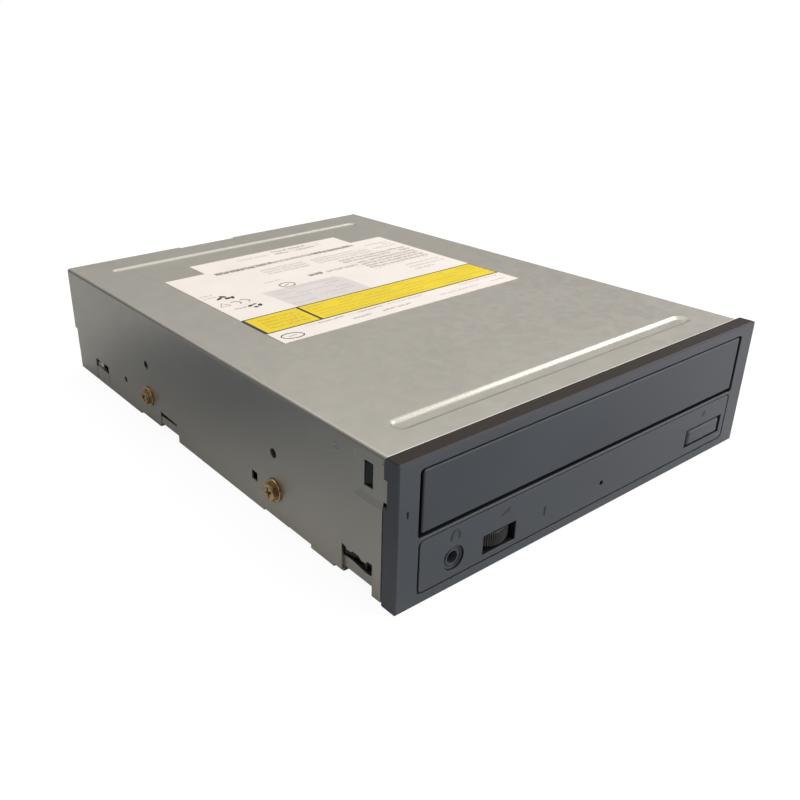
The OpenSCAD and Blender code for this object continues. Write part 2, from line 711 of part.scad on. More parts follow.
module rack_teeth() {
  pitch = PI * rack_m;
  n = 47;
  hb = (pitch / 2 - backlash) / 2;
  ad = 0.9 * rack_m;
  dd = 1.2 * rack_m;
  y0 = gear_y - 1.5 * pitch;
  pts = [for (k = [0 : n - 1]) let (c = y0 + k * pitch) each [
    [rack_x - dd, c - hb - dd * tan(20)], [rack_x + ad, c - hb + ad * tan(20)],
    [rack_x + ad, c + hb - ad * tan(20)], [rack_x - dd, c + hb + dd * tan(20)]]];
  back = rack_x - dd - 1.8;
  linear_extrude_z(gear_z2 + 0.1, floor_z0 + e)
    polygon(concat([[back, y0 - 2]], [[rack_x - dd, y0 - 2]], pts,
      [[rack_x - dd, y0 + n * pitch - 0.5]], [[back, y0 + n * pitch - 0.5]]));
}

module disc_tray() {
  color([0.2, 0.2, 0.21]) difference() {
    union() {
      box(-tray_x, tray_x, tray_y0 + 2, tray_l, floor_z0, rim_z);
      both_sides() box(tray_x - 3, tray_x, tray_y0 + 4.5, tray_l, tray_z0, floor_z0 + e);
      // front lip that carries the door
      box(-tray_x + 1.5, tray_x - 1.5, tray_y0, tray_y0 + 4.1, lip_z0, 32);
      both_sides() box(tray_x - 12, tray_x - 1.5, tray_y0, tray_y0 + 2.4, lip_z0, door_z1 - 3);
      rack_teeth();
    }
    // disc recesses
    rod_z_axis(0, disc_y, recess_z, rim_z + 1, recess_r);
    rod_z_axis(0, disc_y, small_z, recess_z + 1, small_r);
    // slot for turntable and pickup, open to the rear
    rod_z_axis(0, disc_y, floor_z0 - 1, small_z + 1, slot_w / 2);
    box(-slot_w / 2, slot_w / 2, disc_y, tray_l + 1, floor_z0 - 1, rim_z + 1);
    // finger scoops at the front corners
    both_sides() rod_z_axis(45, disc_y - 45, recess_z, rim_z + 1, 9);
    // lightening pockets behind the disc
    both_sides() box(slot_w / 2 + 3, tray_x - 4, disc_y + 66, tray_l - 4, 27, rim_z + 1);
    both_sides() box(slot_w / 2 + 3, 40, disc_y + 56, disc_y + 63, 27, rim_z + 1);
  }
  // four lugs that hold a disc when the drive stands on its side
  color([0.2, 0.2, 0.21]) intersection() {
    difference() {
      rod_z_axis(0, disc_y, rim_z - 0.9, rim_z, recess_r + 0.5);
      rod_z_axis(0, disc_y, rim_z - 2, rim_z + 1, recess_r - 1.2);
    }
    union() {
      for (s = [-1, 1], x = [-30, 30]) box(x - 3, x + 3, disc_y + s * 53 - 6, disc_y + s * 53 + 6, rim_z - 2, rim_z + 1);
    }
  }
}

module loader_frame() {
  rear = case_l - 6.5;
  hx = sub_x + 0.4;
  color([0.24, 0.24, 0.26]) difference() {
    union() {
      // deck
      box(-wall_x, wall_x, 4, rear, deck_z0, deck_z1);
      // side walls and ledges
      both_sides() box(wall_x, wall_x + wall_t, 4, rear, deck_z0 - 6, bridge_z);
      both_sides() box(tray_x - 3, wall_x + e, 4, rear, deck_z1 - e, ledge_z);
      // upper guides
      both_sides() for (y = [4.5, 108, rear - 14]) box(tray_x - 2, wall_x + e, y, y + 12, guide_z, guide_z + 1.5);
      // legs
      both_sides() for (y = leg_y) rod_z_axis(leg_x, y, sheet_t, deck_z0 + e, 3.4);
      // hinge ears
      both_sides() box(hx, hx + 4, hinge_y - 5, hinge_y + 5, hinge_z - 4, deck_z0 + e);
      // cam brackets
      for (x = [-26, -6]) {
        box(x, x + 6, cam_y0 - 2.1, cam_y0 - 0.15, cam_z0 - 1.9, deck_z0 + e);
        box(x, x + 6, cam_y0 - 2.1, cam_y0 + cam_t + 1.2, cam_z0 - 1.9, cam_z0 - 0.1);
      }
      // gear posts
      for (p = [[gear_x, gear_y], [pul_x, pul_y]]) {
        rod_z_axis(p[0], p[1], deck_z1 - e, gear_z1 - 0.05, post_r + 1.2);
        rod_z_axis(p[0], p[1], deck_z1 - e, gear_z3 - 0.45, post_r);
      }
    }
    // opening over the traverse
    box(-hx, hx, 50, 158, deck_z0 - 1, deck_z1 + 1);
    // hole for the motor's boss, hinge bores, screw pilots
    rod_z_axis(motor_x, motor_y, deck_z0 - 1, deck_z1 + 1, 3.1);
    rod_x_axis(-hx - 5, hx + 5, hinge_y, hinge_z, hinge_r + run_gap);
    both_sides() for (y = leg_y) flat_screw(leg_x, y, 0, 5.4, 0.05);
    // windows in the deck
    box(-30, -8, 33, 43, deck_z0 - 1, deck_z1 + 1);
    box(-38, 38, rear - 23, rear - 6, deck_z0 - 1, deck_z1 + 1);
    // side windows
    both_sides() for (y = [14, 88, 146]) box(wall_x - 0.4, wall_x + wall_t + 1, y, y + 14, ledge_z + 1, guide_z - 1);
    // room for the ends of the mounting screws
    both_sides() for (y = [hole_y1, hole_y2]) rod_x_axis(wall_x - 0.5, wall_x + wall_t + 1, y, hole_zu, mount_r + 1);
  }
}

module loading_motor() {
  color([0.62, 0.62, 0.6]) {
    rod_z_axis(motor_x, motor_y, 6.4, deck_z0, 10);
    rod_z_axis(motor_x, motor_y, deck_z0 - e, deck_z1 + 0.1, 3);
    rod_z_axis(motor_x, motor_y, deck_z1, gear_z3 - 0.3, 0.75);
    rod_z_axis(motor_x, motor_y, 5.6, 6.5, 3);
  }
}

module motor_pulley() {
  z0 = gear_z2;
  z1 = gear_z3 - 0.1;
  zm = (z0 + z1) / 2;
  color([0.85, 0.84, 0.8]) difference() {
    translate([motor_x, motor_y, 0]) rotate_extrude() polygon([[0, z0], [motor_pulley_r, z0], [motor_pulley_r, z0 + 0.5],
      [belt_r2 - 0.05, zm - 0.6], [belt_r2 - 0.05, zm + 0.6], [motor_pulley_r, z1 - 0.5], [motor_pulley_r, z1], [0, z1]]);
    rod_z_axis(motor_x, motor_y, z0 - 1, z1 + 1, 0.75 + 0.01);
  }
}

function belt_points(r1, r2) =
  let (dx = motor_x - pul_x, dy = motor_y - pul_y, d = sqrt(dx * dx + dy * dy), a = atan2(dy, dx), g = acos((r1 - r2) / d))
  concat(
    [for (i = [0 : 24]) let (t = a + g + (360 - 2 * g) * i / 24) [pul_x + r1 * cos(t), pul_y + r1 * sin(t)]],
    [for (i = [0 : 12]) let (t = a - g + 2 * g * i / 12) [motor_x + r2 * cos(t), motor_y + r2 * sin(t)]]);

module drive_belt() {
  zm = (gear_z2 + gear_z3 - 0.1) / 2;
  color([0.1, 0.1, 0.1]) difference() {
    linear_extrude_z(zm - belt_t / 2, zm + belt_t / 2) polygon(belt_points(belt_r1 + belt_t, belt_r2 + belt_t));
    linear_extrude_z(zm - belt_t, zm + belt_t) polygon(belt_points(belt_r1 + 0.1, belt_r2 + 0.1));
  }
}

module pulley_gear() {
  z1 = gear_z3 - 0.1;
  zm = (gear_z2 + z1) / 2;
  color([0.88, 0.87, 0.83]) translate([pul_x, pul_y, 0]) difference() {
    union() {
      gear_rim(pin_t, big_m, backlash, gear_z1, gear_z2 + 0.1, mesh_a + 180 + 180 / pin_t);
      rotate_extrude() polygon([[0, gear_z2], [pulley_r, gear_z2], [pulley_r, gear_z2 + 0.5], [belt_r1 - 0.05, zm - 0.6],
        [belt_r1 - 0.05, zm + 0.6], [pulley_r, z1 - 0.5], [pulley_r, z1], [0, z1]]);
    }
    translate([0, 0, gear_z1 - 1]) cylinder(h = 10, r = post_r + run_gap);
    translate([0, 0, gear_z3 - 0.6]) cylinder(h = 2, r = 3.6);
    translate([0, 0, gear_z3 - 0.9]) difference() {
      cylinder(h = 2, r = 9.2);
      translate([0, 0, -1]) cylinder(h = 4, r = 5);
    }
  }
}

module drive_gear() {
  color([0.9, 0.89, 0.85]) translate([gear_x, gear_y, 0]) difference() {
    union() {
      gear_rim(big_t, big_m, backlash, gear_z1, gear_z1 + rim_t, mesh_a);
      gear_rim(rack_t, rack_m, backlash, gear_z1 + rim_t - 0.2, gear_z3, 180);
    }
    translate([0, 0, gear_z1 - 1]) cylinder(h = 10, r = post_r + run_gap);
    translate([0, 0, gear_z3 - 0.6]) cylinder(h = 2, r = 3.6);
    // six holes lighten the web
    for (a = [0 : 60 : 300]) rotate([0, 0, a + 15]) translate([13.6, 0, gear_z1 - 1]) cylinder(h = 1 + rim_t + 1, r = 2.1);
  }
}

module gear_washers() {
  color([0.7, 0.7, 0.7]) for (p = [[gear_x, gear_y], [pul_x, pul_y]]) difference() {
    rod_z_axis(p[0], p[1], gear_z3 - 0.55, gear_z3 - 0.2, 3.3);
    rod_z_axis(p[0], p[1], gear_z3 - 1, gear_z3 - 0.45, post_r + 0.01);
  }
}

module cam_slider() {
  a = atan2(cam_drop, cam_run);
  len = sqrt(cam_drop * cam_drop + cam_run * cam_run);
  r = cam_pin_r + 0.25;
  color([0.82, 0.8, 0.74]) difference() {
    union() {
      box(cam_x0, cam_x1, cam_y0, cam_y0 + cam_t, cam_z0, cam_z1);
      // lug for the emergency pin
      box(pin_x - 3, pin_x + 3, cam_y0 - 3, cam_y0 + e, pin_z - 3.5, pin_z + 1.5);
    }
    for (x = cam_pin_x) translate([x, cam_y0 - 1, hinge_z]) rotate([-90, 0, 0]) {
      cylinder(h = cam_t + 2, r = r);
      translate([-cam_run, cam_drop, 0]) cylinder(h = cam_t + 2, r = r);
      rotate([0, 0, 180 - a]) translate([0, -r, 0]) cube([len, 2 * r, cam_t + 2]);
    }
    box(cam_x1 - 8, cam_x1 - 2.5, cam_y0 - 1, cam_y0 + cam_t + 1, cam_z0 + 2, cam_z0 + 6);
  }
}

// clamper

module clamper_bridge() {
  half = wall_x + wall_t;
  color([0.7, 0.7, 0.68]) difference() {
    union() {
      box(-half, half, disc_y - 16, disc_y + 16, bridge_z, bridge_z + 1);
      both_sides() box(half + seat, half + 1 + seat, disc_y - 10, disc_y + 10, bridge_z - 4, bridge_z + 1);
      both_sides() box(half - e, half + 1 + seat, disc_y - 10, disc_y + 10, bridge_z, bridge_z + 1);
      box(-46, 46, disc_y - 16, disc_y - 15, bridge_z, bridge_z + 2.6);
      box(-46, 46, disc_y + 15, disc_y + 16, bridge_z, bridge_z + 2.6);
    }
    rod_z_axis(0, disc_y, bridge_z - 1, bridge_z + 2, 10.6);
  }
}

module clamper() {
  color([0.15, 0.15, 0.16]) translate([0, disc_y, 0]) difference() {
    rotate_extrude() polygon([[0, disc_z + 0.1], [clamper_r - 0.6, disc_z + 0.1], [clamper_r, disc_z + 0.7],
      [clamper_r, disc_z + 2.2], [9.8, disc_z + 3.3], [9.8, bridge_z + 1.9], [13, bridge_z + 1.9], [13, bridge_z + 3.1],
      [0, bridge_z + 3.1]]);
    translate([0, 0, disc_z - 1]) cylinder(h = 3.9, r = hub_r + 0.8);
    translate([0, 0, disc_z - 1]) cylinder(h = 1.7, r = 10.5);
    translate([0, 0, disc_z + 2.8]) cylinder(h = 2.5, r = 6.6);
  }
}

module clamper_magnet() {
  color([0.5, 0.5, 0.52]) translate([0, disc_y, disc_z + 3.3]) difference() {
    cylinder(h = 2, r = 6.6 - 0.02);
    translate([0, 0, -1]) cylinder(h = 4, r = 2.4);
  }
}

// traverse

module sub_chassis() {
  color([0.22, 0.22, 0.24]) difference() {
    union() {
      difference() {
        box(-sub_x, sub_x, sub_y0, sub_y1, sub_z0, sub_z1);
        box(-sub_x + 4, sub_x - 4, sub_y0 + 4, sub_y1 - 4, sub_z0 - 1, sub_z1 + 1);
      }
      both_sides() for (y = bush_y) rod_z_axis(bush_x, y, sub_z0, sub_z1, 4.2);
      both_sides() rod_x_axis(sub_x - e, sub_x + 4.2, hinge_y, hinge_z, hinge_r);
      for (x = cam_pin_x) rod_y_axis(x, cam_y0 - 0.1, sub_y0 + e, hinge_z, cam_pin_r);
    }
    both_sides() for (y = bush_y) rod_z_axis(bush_x, y, sub_z0 + 0.6, sub_z1 + 1, 1.05);
  }
}

module damper_bushes() {
  color([0.1, 0.1, 0.1]) both_sides() for (y = bush_y) translate([bush_x, y, sub_z1]) difference() {
    union() {
      cylinder(h = plate_z0 - sub_z1, r = 3.2);
      cylinder(h = plate_z1 - sub_z1 + 0.8, r = 2.2);
      translate([0, 0, plate_z1 - sub_z1]) cylinder(h = 0.8, r = 3.2);
    }
    translate([0, 0, -1]) cylinder(h = 8, r = 1.1);
  }
}

module damper_screws() {
  color([0.6, 0.6, 0.6]) both_sides() for (y = bush_y) {
    rod_z_axis(bush_x, y, sub_z0 + 0.8, plate_z1 + 1, 1);
    difference() {
      rod_z_axis(bush_x, y, plate_z1 + 0.8, plate_z1 + 2, 2.8);
      translate([bush_x - 1.4, y - 0.3, plate_z1 + 1.4]) cube([2.8, 0.6, 2]);
      translate([bush_x - 0.3, y - 1.4, plate_z1 + 1.4]) cube([0.6, 2.8, 2]);
    }
  }
}

module traverse_plate() {
  color([0.66, 0.66, 0.64]) difference() {
    union() {
      box(-41, 41, sub_y0 + 3, sub_y1 - 4, plate_z0, plate_z1);
      // ears that hold the rods and the lead screw
      for (y = [rod_y0, rod_y1 - ear_t]) {
        both_sides() box(rod_x - 3.2, rod_x + 3.2, y, y + ear_t, rod_z - 3, plate_z0 + e);
        box(rod_x + 3, screw_x + 2.2, y, y + ear_t, rod_z - 4, plate_z0 + e);
      }
    }
    // pickup window, rounded out around the spindle motor
    difference() {
      box(-rod_x + 3.4, rod_x - 3.4, pick_y0 - pick_in - 0.6, pick_y1 + pick_out + 0.6, plate_z0 - 1, plate_z1 + 1);
      rod_z_axis(0, disc_y, plate_z0 - 2, plate_z1 + 2, scoop_r - 1);
    }
    // room for the sled motor
    box(screw_x - 6.6, screw_x + 6.6, rod_y0 - 17, rod_y0 - 0.8, plate_z0 - 1, plate_z1 + 1);
    // damper and rod holes
    both_sides() for (y = bush_y) rod_z_axis(bush_x, y, plate_z0 - 1, plate_z1 + 1, 2.25);
    both_sides() rod_y_axis(rod_x, rod_y0 - 2, rod_y1 + 2, rod_z, rod_r + 0.01);
    rod_y_axis(screw_x, rod_y0 - 2, rod_y1 + 2, screw_z, screw_r + run_gap);
    // corner cuts beside the spindle
    both_sides() box(24, 33, sub_y0 + 8, sub_y0 + 14, plate_z0 - 1, plate_z1 + 1);
    rod_z_axis(0, disc_y, plate_z0 - 1, plate_z1 + 1, 4.1);
  }
}

module guide_rods() {
  color([0.8, 0.8, 0.8]) both_sides() rod_y_axis(rod_x, rod_y0 - 0.6, rod_y1 + 0.6, rod_z, rod_r);
}

module lead_screw() {
  turns = 17;
  p = 3;
  y0 = rod_y0 + 2.5;
  prof = [for (i = [0 : turns - 1]) each [[screw_r, y0 + i * p], [screw_r, y0 + i * p + 2.2],
    [screw_r - 0.35, y0 + i * p + 2.4], [screw_r - 0.35, y0 + i * p + 2.8]]];
  color([0.75, 0.75, 0.72]) translate([screw_x, 0, screw_z]) rotate([-90, 0, 0]) rotate_extrude()
    polygon(concat([[0, rod_y0 - 2.6], [screw_r, rod_y0 - 2.6]], prof, [[screw_r, y0 + turns * p], [screw_r, rod_y1 + 0.5],
      [0, rod_y1 + 0.5]]));
}

module sled_motor() {
  color([0.6, 0.6, 0.58]) difference() {
    union() {
      rod_y_axis(screw_x, rod_y0 - 15, rod_y0 - 0.9, screw_z, 5.8);
      box(screw_x - 5.6, screw_x + 6.6, rod_y0 - 0.9 - e, rod_y0, screw_z - 5, plate_z0);
      rod_y_axis(screw_x, rod_y0 - 16.2, rod_y0 - 14.9, screw_z, 2.2);
    }
    // shaft hole that the lead screw runs into
    rod_y_axis(screw_x, rod_y0 - 2.8, rod_y0 + 1, screw_z, screw_r + run_gap);
  }
}

module pickup_body() {
  arm = rod_x;
  bear_y0 = rod_y0 + ear_t + 0.4 + pick_in;
  bear_y1 = rod_y1 - ear_t - 0.4 - pick_out;
  color([0.3, 0.3, 0.32]) difference() {
    union() {
      box(-18.5, 18.5, pick_y0, pick_y1, rod_z - 2.2, 21.2);
      // long bearing on the right rod, short fork on the left
      rod_y_axis(arm, bear_y0, bear_y1, rod_z, 2.5);
      box(18, arm, bear_y0, bear_y1, rod_z - 2.2, plate_z0 - 0.5);
      box(-arm - 2.4, -18, pick_y - 3, pick_y + 3, rod_z - 2.2, plate_z0 - 0.5);
      // follower on the lead screw
      box(arm, screw_x + 2.6, pick_y - 3, pick_y + 3, screw_z - 3, screw_z - screw_r - 0.12);
      box(arm, screw_x - screw_r - 0.5, pick_y - 3, pick_y + 3, screw_z - 3, screw_z + 2);
    }
    rod_y_axis(arm, pick_y - 14, pick_y + 14, rod_z, rod_r + run_gap);
    rod_y_axis(-arm, pick_y - 14, pick_y + 14, rod_z, rod_r + run_gap);
    rod_y_axis(screw_x, pick_y - 14, pick_y + 14, screw_z, screw_r + 0.12);
    box(-arm - 4, -arm, pick_y - 5, pick_y + 5, rod_z - rod_r - run_gap, rod_z + rod_r + run_gap);
    // scoops for the laser parts
    box(-15, -7, pick_y - 9, pick_y + 8, 19.6, 23);
    rod_z_axis(12, pick_y + 3, 19.4, 23, 4);
    // front scoop that clears the spindle motor with the pickup all the way in
    rod_z_axis(0, disc_y + pick_in, rod_z - 4, 23, scoop_r);
  }
}

module lens_holder() {
  color([0.15, 0.15, 0.16]) difference() {
    union() {
      box(-5.5, 5.5, pick_y - 6, pick_y + 7, 21.2, 24);
      rod_z_axis(0, pick_y, 21.2, 25.3, 4.2);
    }
    rod_z_axis(0, pick_y, 23.4, 27, lens_r);
  }
}

module objective_lens() {
  color([0.55, 0.65, 0.8, 0.6]) translate([0, pick_y, 23.45]) intersection() {
    cylinder(h = 2.6, r = lens_r - 0.01);
    translate([0, 0, -2.4]) sphere(r = 4.9);
  }
}

module spindle_base() {
  color([0.55, 0.55, 0.53]) translate([0, disc_y, 0]) difference() {
    union() {
      translate([0, 0, plate_z1]) cylinder(h = 1, r = 13);
      translate([0, 0, plate_z0 - 1]) cylinder(h = 3, r = 4);
      translate([0, 0, plate_z1]) cylinder(h = 4.6, r = 3.2);
    }
    translate([0, 0, plate_z0]) cylinder(h = 9, r = 1.25 + run_gap);
  }
}

module spindle_rotor() {
  color([0.68, 0.68, 0.66]) translate([0, disc_y, 0]) {
    difference() {
      translate([0, 0, plate_z1 + 1.3]) cylinder(h = 6, r = rotor_r);
      translate([0, 0, plate_z1]) cylinder(h = 6.5, r = rotor_r - 0.8);
    }
    translate([0, 0, plate_z0 + e]) cylinder(h = disc_z + 2.2 - plate_z0 - e, r = 1.25);
  }
}

module turntable() {
  color([0.2, 0.2, 0.22]) translate([0, disc_y, 0]) difference() {
    union() {
      translate([0, 0, plate_z1 + 7.3]) cylinder(h = disc_z - 0.5 - plate_z1 - 7.3, r = turntable_r);
      translate([0, 0, plate_z1 + 7.3]) cylinder(h = disc_z - plate_z1 - 7.3, r = 10);
    }
    translate([0, 0, plate_z1]) cylinder(h = 14, r = 1.25 + 0.01);
  }
}

module turntable_pad() {
  color([0.08, 0.08, 0.08]) translate([0, disc_y, disc_z - 0.5]) difference() {
    cylinder(h = 0.5, r = turntable_r - 0.3);
    translate([0, 0, -1]) cylinder(h = 2, r = 10.6);
  }
}

module centring_hub() {
  color([0.75, 0.75, 0.73]) translate([0, disc_y, disc_z]) difference() {
    rotate_extrude() polygon([[0, 0], [hub_r, 0], [hub_r, 1.3], [hub_r - 1.2, 2.4], [0, 2.4]]);
    translate([0, 0, -1]) cylinder(h = 3.2, r = 1.25 + 0.01);
    translate([0, 0, 2]) cylinder(h = 1, r = 4);
  }
}

// electronics

module main_board() {
  color([0.1, 0.35, 0.2]) difference() {
    box(-main_x, main_x, main_y0, main_y1, main_z, main_z + board_t);
    both_sides() for (y = stud_y) rod_z_axis(stud_x, y, main_z - 1, main_z + 3, 1.3);
  }
}

module front_board() {
  color([0.1, 0.35, 0.2]) difference() {
    box(-front_x, front_x, front_y0, front_y1, front_z, front_z + board_t);
    for (x = fstud_x) rod_z_axis(x, fstud_y, front_z - 1, front_z + 3, 1.3);
  }
}

module pan_screw(x, y, z, depth) {
  difference() {
    union() {
      rod_z_axis(x, y, z - depth, z + 0.1, 1.1);
      rod_z_axis(x, y, z, z + 1.2, 2.4);
    }
    translate([x - 1.3, y - 0.3, z + 0.6]) cube([2.6, 0.6, 2]);
    translate([x - 0.3, y - 1.3, z + 0.6]) cube([0.6, 2.6, 2]);
  }
}

module board_screws() {
  color([0.6, 0.6, 0.6]) {
    both_sides() for (y = stud_y) pan_screw(stud_x, y, main_z + board_t, 4);
    for (x = fstud_x) pan_screw(x, fstud_y, front_z + board_t, 3.4);
  }
}

module board_chips() {
  z = main_z + board_t;
  color([0.12, 0.12, 0.12]) {
    box(-24, 4, 114, 142, z, z + 1.3);
    box(14, 25, 116, 134, z, z + 1.1);
    box(-46, -36, 122, 138, z, z + 1.1);
    box(-14, 8, main_y1 - 31.5, main_y1 - 21.5, z, z + 2.4);
    box(34, 46, 140, 149, z, z + 1.3);
  }
}

module board_capacitors() {
  z = main_z + board_t;
  color([0.75, 0.75, 0.78]) for (p = [[-44, 27.5, 4], [-33, 26.5, 3.2], [26, 26.5, 3.2], [40, 27.5, 4]]) {
    y = main_y1 - p[1];
    rod_z_axis(p[0], y, z, z + 6.6, p[2]);
    box(p[0] - p[2], p[0] + p[2], y - p[2], y + p[2], z, z + 0.8);
  }
}

module interface_header() {
  z0 = main_z + board_t;
  y0 = conn_y1 - header_d;
  x0 = header_x - header_w / 2;
  x1 = header_x + header_w / 2;
  color([0.12, 0.12, 0.12]) difference() {
    box(x0, x1, y0, conn_y1, z0, z0 + header_h);
    box(x0 + 1.2, x1 - 1.2, conn_y1 - 6.6, conn_y1 + 1, z0 + 1.2, z0 + header_h - 1.2);
    // polarising notch
    box(header_x - 2.4, header_x + 2.4, conn_y1 - 6.6, conn_y1 + 1, z0 + header_h - 2, z0 + header_h + 1);
  }
}

module interface_pins() {
  z0 = main_z + board_t + header_h / 2;
  color([0.85, 0.7, 0.3]) for (i = [0 : 19], r = [-1, 1]) if (!(i == 10 && r == 1)) {
    x = header_x + (i - 9.5) * 2.54;
    box(x - 0.32, x + 0.32, conn_y1 - 6.6, conn_y1 - 0.8, z0 + r * 1.27 - 0.32, z0 + r * 1.27 + 0.32);
  }
}

module power_socket() {
  z0 = main_z + board_t;
  y0 = conn_y1 - power_d;
  hw = power_w / 2;
  color([0.93, 0.92, 0.88]) difference() {
    box(power_x - hw, power_x + hw, y0, conn_y1, z0, z0 + power_h);
    // keyed cavity
    translate([power_x, conn_y1 - 11, z0 + power_h / 2]) rotate([-90, 0, 0]) linear_extrude(height = 12)
      polygon([[-hw + 1, -4], [-hw + 1, 2.4], [-hw + 2.8, 4.2], [hw - 2.8, 4.2], [hw - 1, 2.4], [hw - 1, -4]]);
  }
}

module power_pins() {
  z = main_z + board_t + power_h / 2;
  color([0.8, 0.78, 0.7]) for (i = [-1.5, -0.5, 0.5, 1.5]) {
    rod_y_axis(power_x + i * 5.08, conn_y1 - 11, conn_y1 - 1.6, z, 1.05);
  }
}

module pin_header(x, n, rows, w, d) {
  z0 = main_z + board_t;
  h = 7;
  difference() {
    box(x - w / 2, x + w / 2, conn_y1 - d, conn_y1, z0, z0 + h);
    box(x - w / 2 + 0.8, x + w / 2 - 0.8, conn_y1 - 6, conn_y1 + 1, z0 + 0.8, z0 + h - 0.8);
  }
  for (i = [0 : n - 1], r = [0 : rows - 1]) {
    px = x + (i - (n - 1) / 2) * 2.54;
    pz = z0 + h / 2 + (r - (rows - 1) / 2) * 2.54;
    box(px - 0.32, px + 0.32, conn_y1 - 6 - e, conn_y1 - 0.8, pz - 0.32, pz + 0.32);
  }
}

module jumper_header() {
  color([0.12, 0.12, 0.12]) pin_header(jumper_x, 3, 2, 9, 9);
}

module jumper_cap() {
  z0 = main_z + board_t + 3.5;
  color([0.15, 0.25, 0.6]) difference() {
    box(jumper_x - 1.15, jumper_x + 1.15, conn_y1 - 5.8, conn_y1 + 0.1, z0 - 2.45, z0 + 2.45);
    for (r = [-1, 1]) box(jumper_x - 0.34, jumper_x + 0.34, conn_y1 - 7, conn_y1 - 0.7, z0 + r * 1.27 - 0.34, z0 + r * 1.27 + 0.34);
  }
}

module audio_header() {
  color([0.92, 0.91, 0.87]) pin_header(audio_x, 4, 1, 12, 9);
}

module digital_header() {
  color([0.92, 0.91, 0.87]) pin_header(digital_x, 2, 1, 7, 9);
}

module front_ribbon() {
  color([0.85, 0.83, 0.8]) {
    y0 = front_y1 - 2;
    y1 = main_y0 + 3;
    box(36, 48, y0, y1, sheet_t + 0.6, sheet_t + 0.85);
    box(36, 48, y0, y0 + 0.25, sheet_t + 0.6, front_z);
    box(36, 48, y1 - 0.25, y1, sheet_t + 0.6, main_z);
  }
}

top_cover();
bottom_plate();
front_bezel();
tray_door();
disc_tray();
eject_button();
volume_wheel();
volume_pot();
headphone_jack();
light_pipe();
status_led();
guide_screws();
case_screws();
case_label();
loader_frame();
clamper_bridge();
clamper();
clamper_magnet();
sub_chassis();
damper_bushes();
damper_screws();
traverse_plate();
spindle_base();
spindle_rotor();
turntable();
turntable_pad();
centring_hub();
guide_rods();
lead_screw();
sled_motor();
pickup_body();
lens_holder();
objective_lens();
loading_motor();
motor_pulley();
drive_belt();
pulley_gear();
drive_gear();
gear_washers();
cam_slider();
main_board();
front_board();
board_screws();
board_chips();
board_capacitors();
interface_header();
interface_pins();
power_socket();
power_pins();
jumper_header();
jumper_cap();
audio_header();
digital_header();
eject_switch();
front_ribbon();
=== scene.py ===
import json
import math
import random

import bmesh
import bpy
from mathutils import Matrix, Vector


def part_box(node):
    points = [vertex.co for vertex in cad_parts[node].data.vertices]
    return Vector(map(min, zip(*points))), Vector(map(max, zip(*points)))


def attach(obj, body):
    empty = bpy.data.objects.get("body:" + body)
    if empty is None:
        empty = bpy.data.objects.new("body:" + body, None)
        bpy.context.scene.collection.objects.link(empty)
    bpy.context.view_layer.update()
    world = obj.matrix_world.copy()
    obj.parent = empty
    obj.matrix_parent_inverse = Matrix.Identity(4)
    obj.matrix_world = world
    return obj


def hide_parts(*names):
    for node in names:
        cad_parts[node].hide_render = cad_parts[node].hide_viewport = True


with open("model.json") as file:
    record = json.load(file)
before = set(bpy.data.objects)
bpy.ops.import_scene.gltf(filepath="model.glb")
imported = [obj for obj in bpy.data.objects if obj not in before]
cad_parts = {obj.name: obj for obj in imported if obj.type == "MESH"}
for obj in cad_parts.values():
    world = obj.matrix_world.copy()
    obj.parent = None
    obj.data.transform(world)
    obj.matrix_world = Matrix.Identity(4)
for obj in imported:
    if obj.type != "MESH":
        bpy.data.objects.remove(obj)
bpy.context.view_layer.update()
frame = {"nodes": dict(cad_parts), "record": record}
mm = 0.001
dice = random.Random(11)
print("stage: frame loaded,", len(frame["nodes"]), "nodes")


# camera, lights and floor

cameraSetup = {
    "place": (-0.18176, -0.12223, 0.13368),    # metres
    "turn": (65.1605, 1.1882, -35.6598),       # degrees about X, Y, Z
    "lens": 37.4546,
    "sensor": 36.0,
    "shift": (0.12152, -0.01111),
}


def placeCamera(setup):
    data = bpy.data.cameras.new("camera")
    data.sensor_fit = "HORIZONTAL"
    data.sensor_width = setup["sensor"]
    data.lens = setup["lens"]
    data.shift_x, data.shift_y = setup["shift"]
    data.clip_start = 0.01
    data.clip_end = 50
    camera = bpy.data.objects.new("camera", data)
    camera.location = setup["place"]
    camera.rotation_euler = [math.radians(a) for a in setup["turn"]]
    bpy.context.scene.collection.objects.link(camera)
    bpy.context.scene.camera = camera


softBoxes = {
    # name: place, target, width, height, watts, colour
    "overhead": ((0.15, 0.35, 0.95), (0.0, 0.1, 0.02), 1.1, 1.1, 3.2, (1.0, 0.985, 0.96)),
    "right": ((0.85, -0.12, 0.62), (0.02, 0.05, 0.03), 0.7, 0.5, 5.0, (1.0, 0.99, 0.97)),
    "front": ((0.55, -0.75, 0.36), (0.03, 0.0, 0.02), 0.6, 0.35, 3.4, (0.95, 0.97, 1.0)),
}


def placeSoftBoxes(boxes):
    for name, (place, target, width, height, watts, colour) in boxes.items():
        data = bpy.data.lights.new(name, "AREA")
        data.shape = "RECTANGLE"
        data.size, data.size_y = width, height
        data.energy = watts
        data.color = colour
        lamp = bpy.data.objects.new(name, data)
        lamp.location = place
        aim = Vector(target) - Vector(place)
        lamp.rotation_euler = aim.to_track_quat("-Z", "Y").to_euler()
        bpy.context.scene.collection.objects.link(lamp)


studioAir = {
    # brightness from the horizon to the zenith, by the sine of the height
    "steps": ((0.0, (0.22, 0.215, 0.21)), (0.25, (0.37, 0.345, 0.33)), (0.42, (0.82, 0.81, 0.79)), (1.0, (0.95, 0.94, 0.92))),
    "leftDim": 0.66,                   # how much darker the room is on the left
    "backdrop": (1.0, 1.0, 1.0),       # what the camera sees behind the floor
}


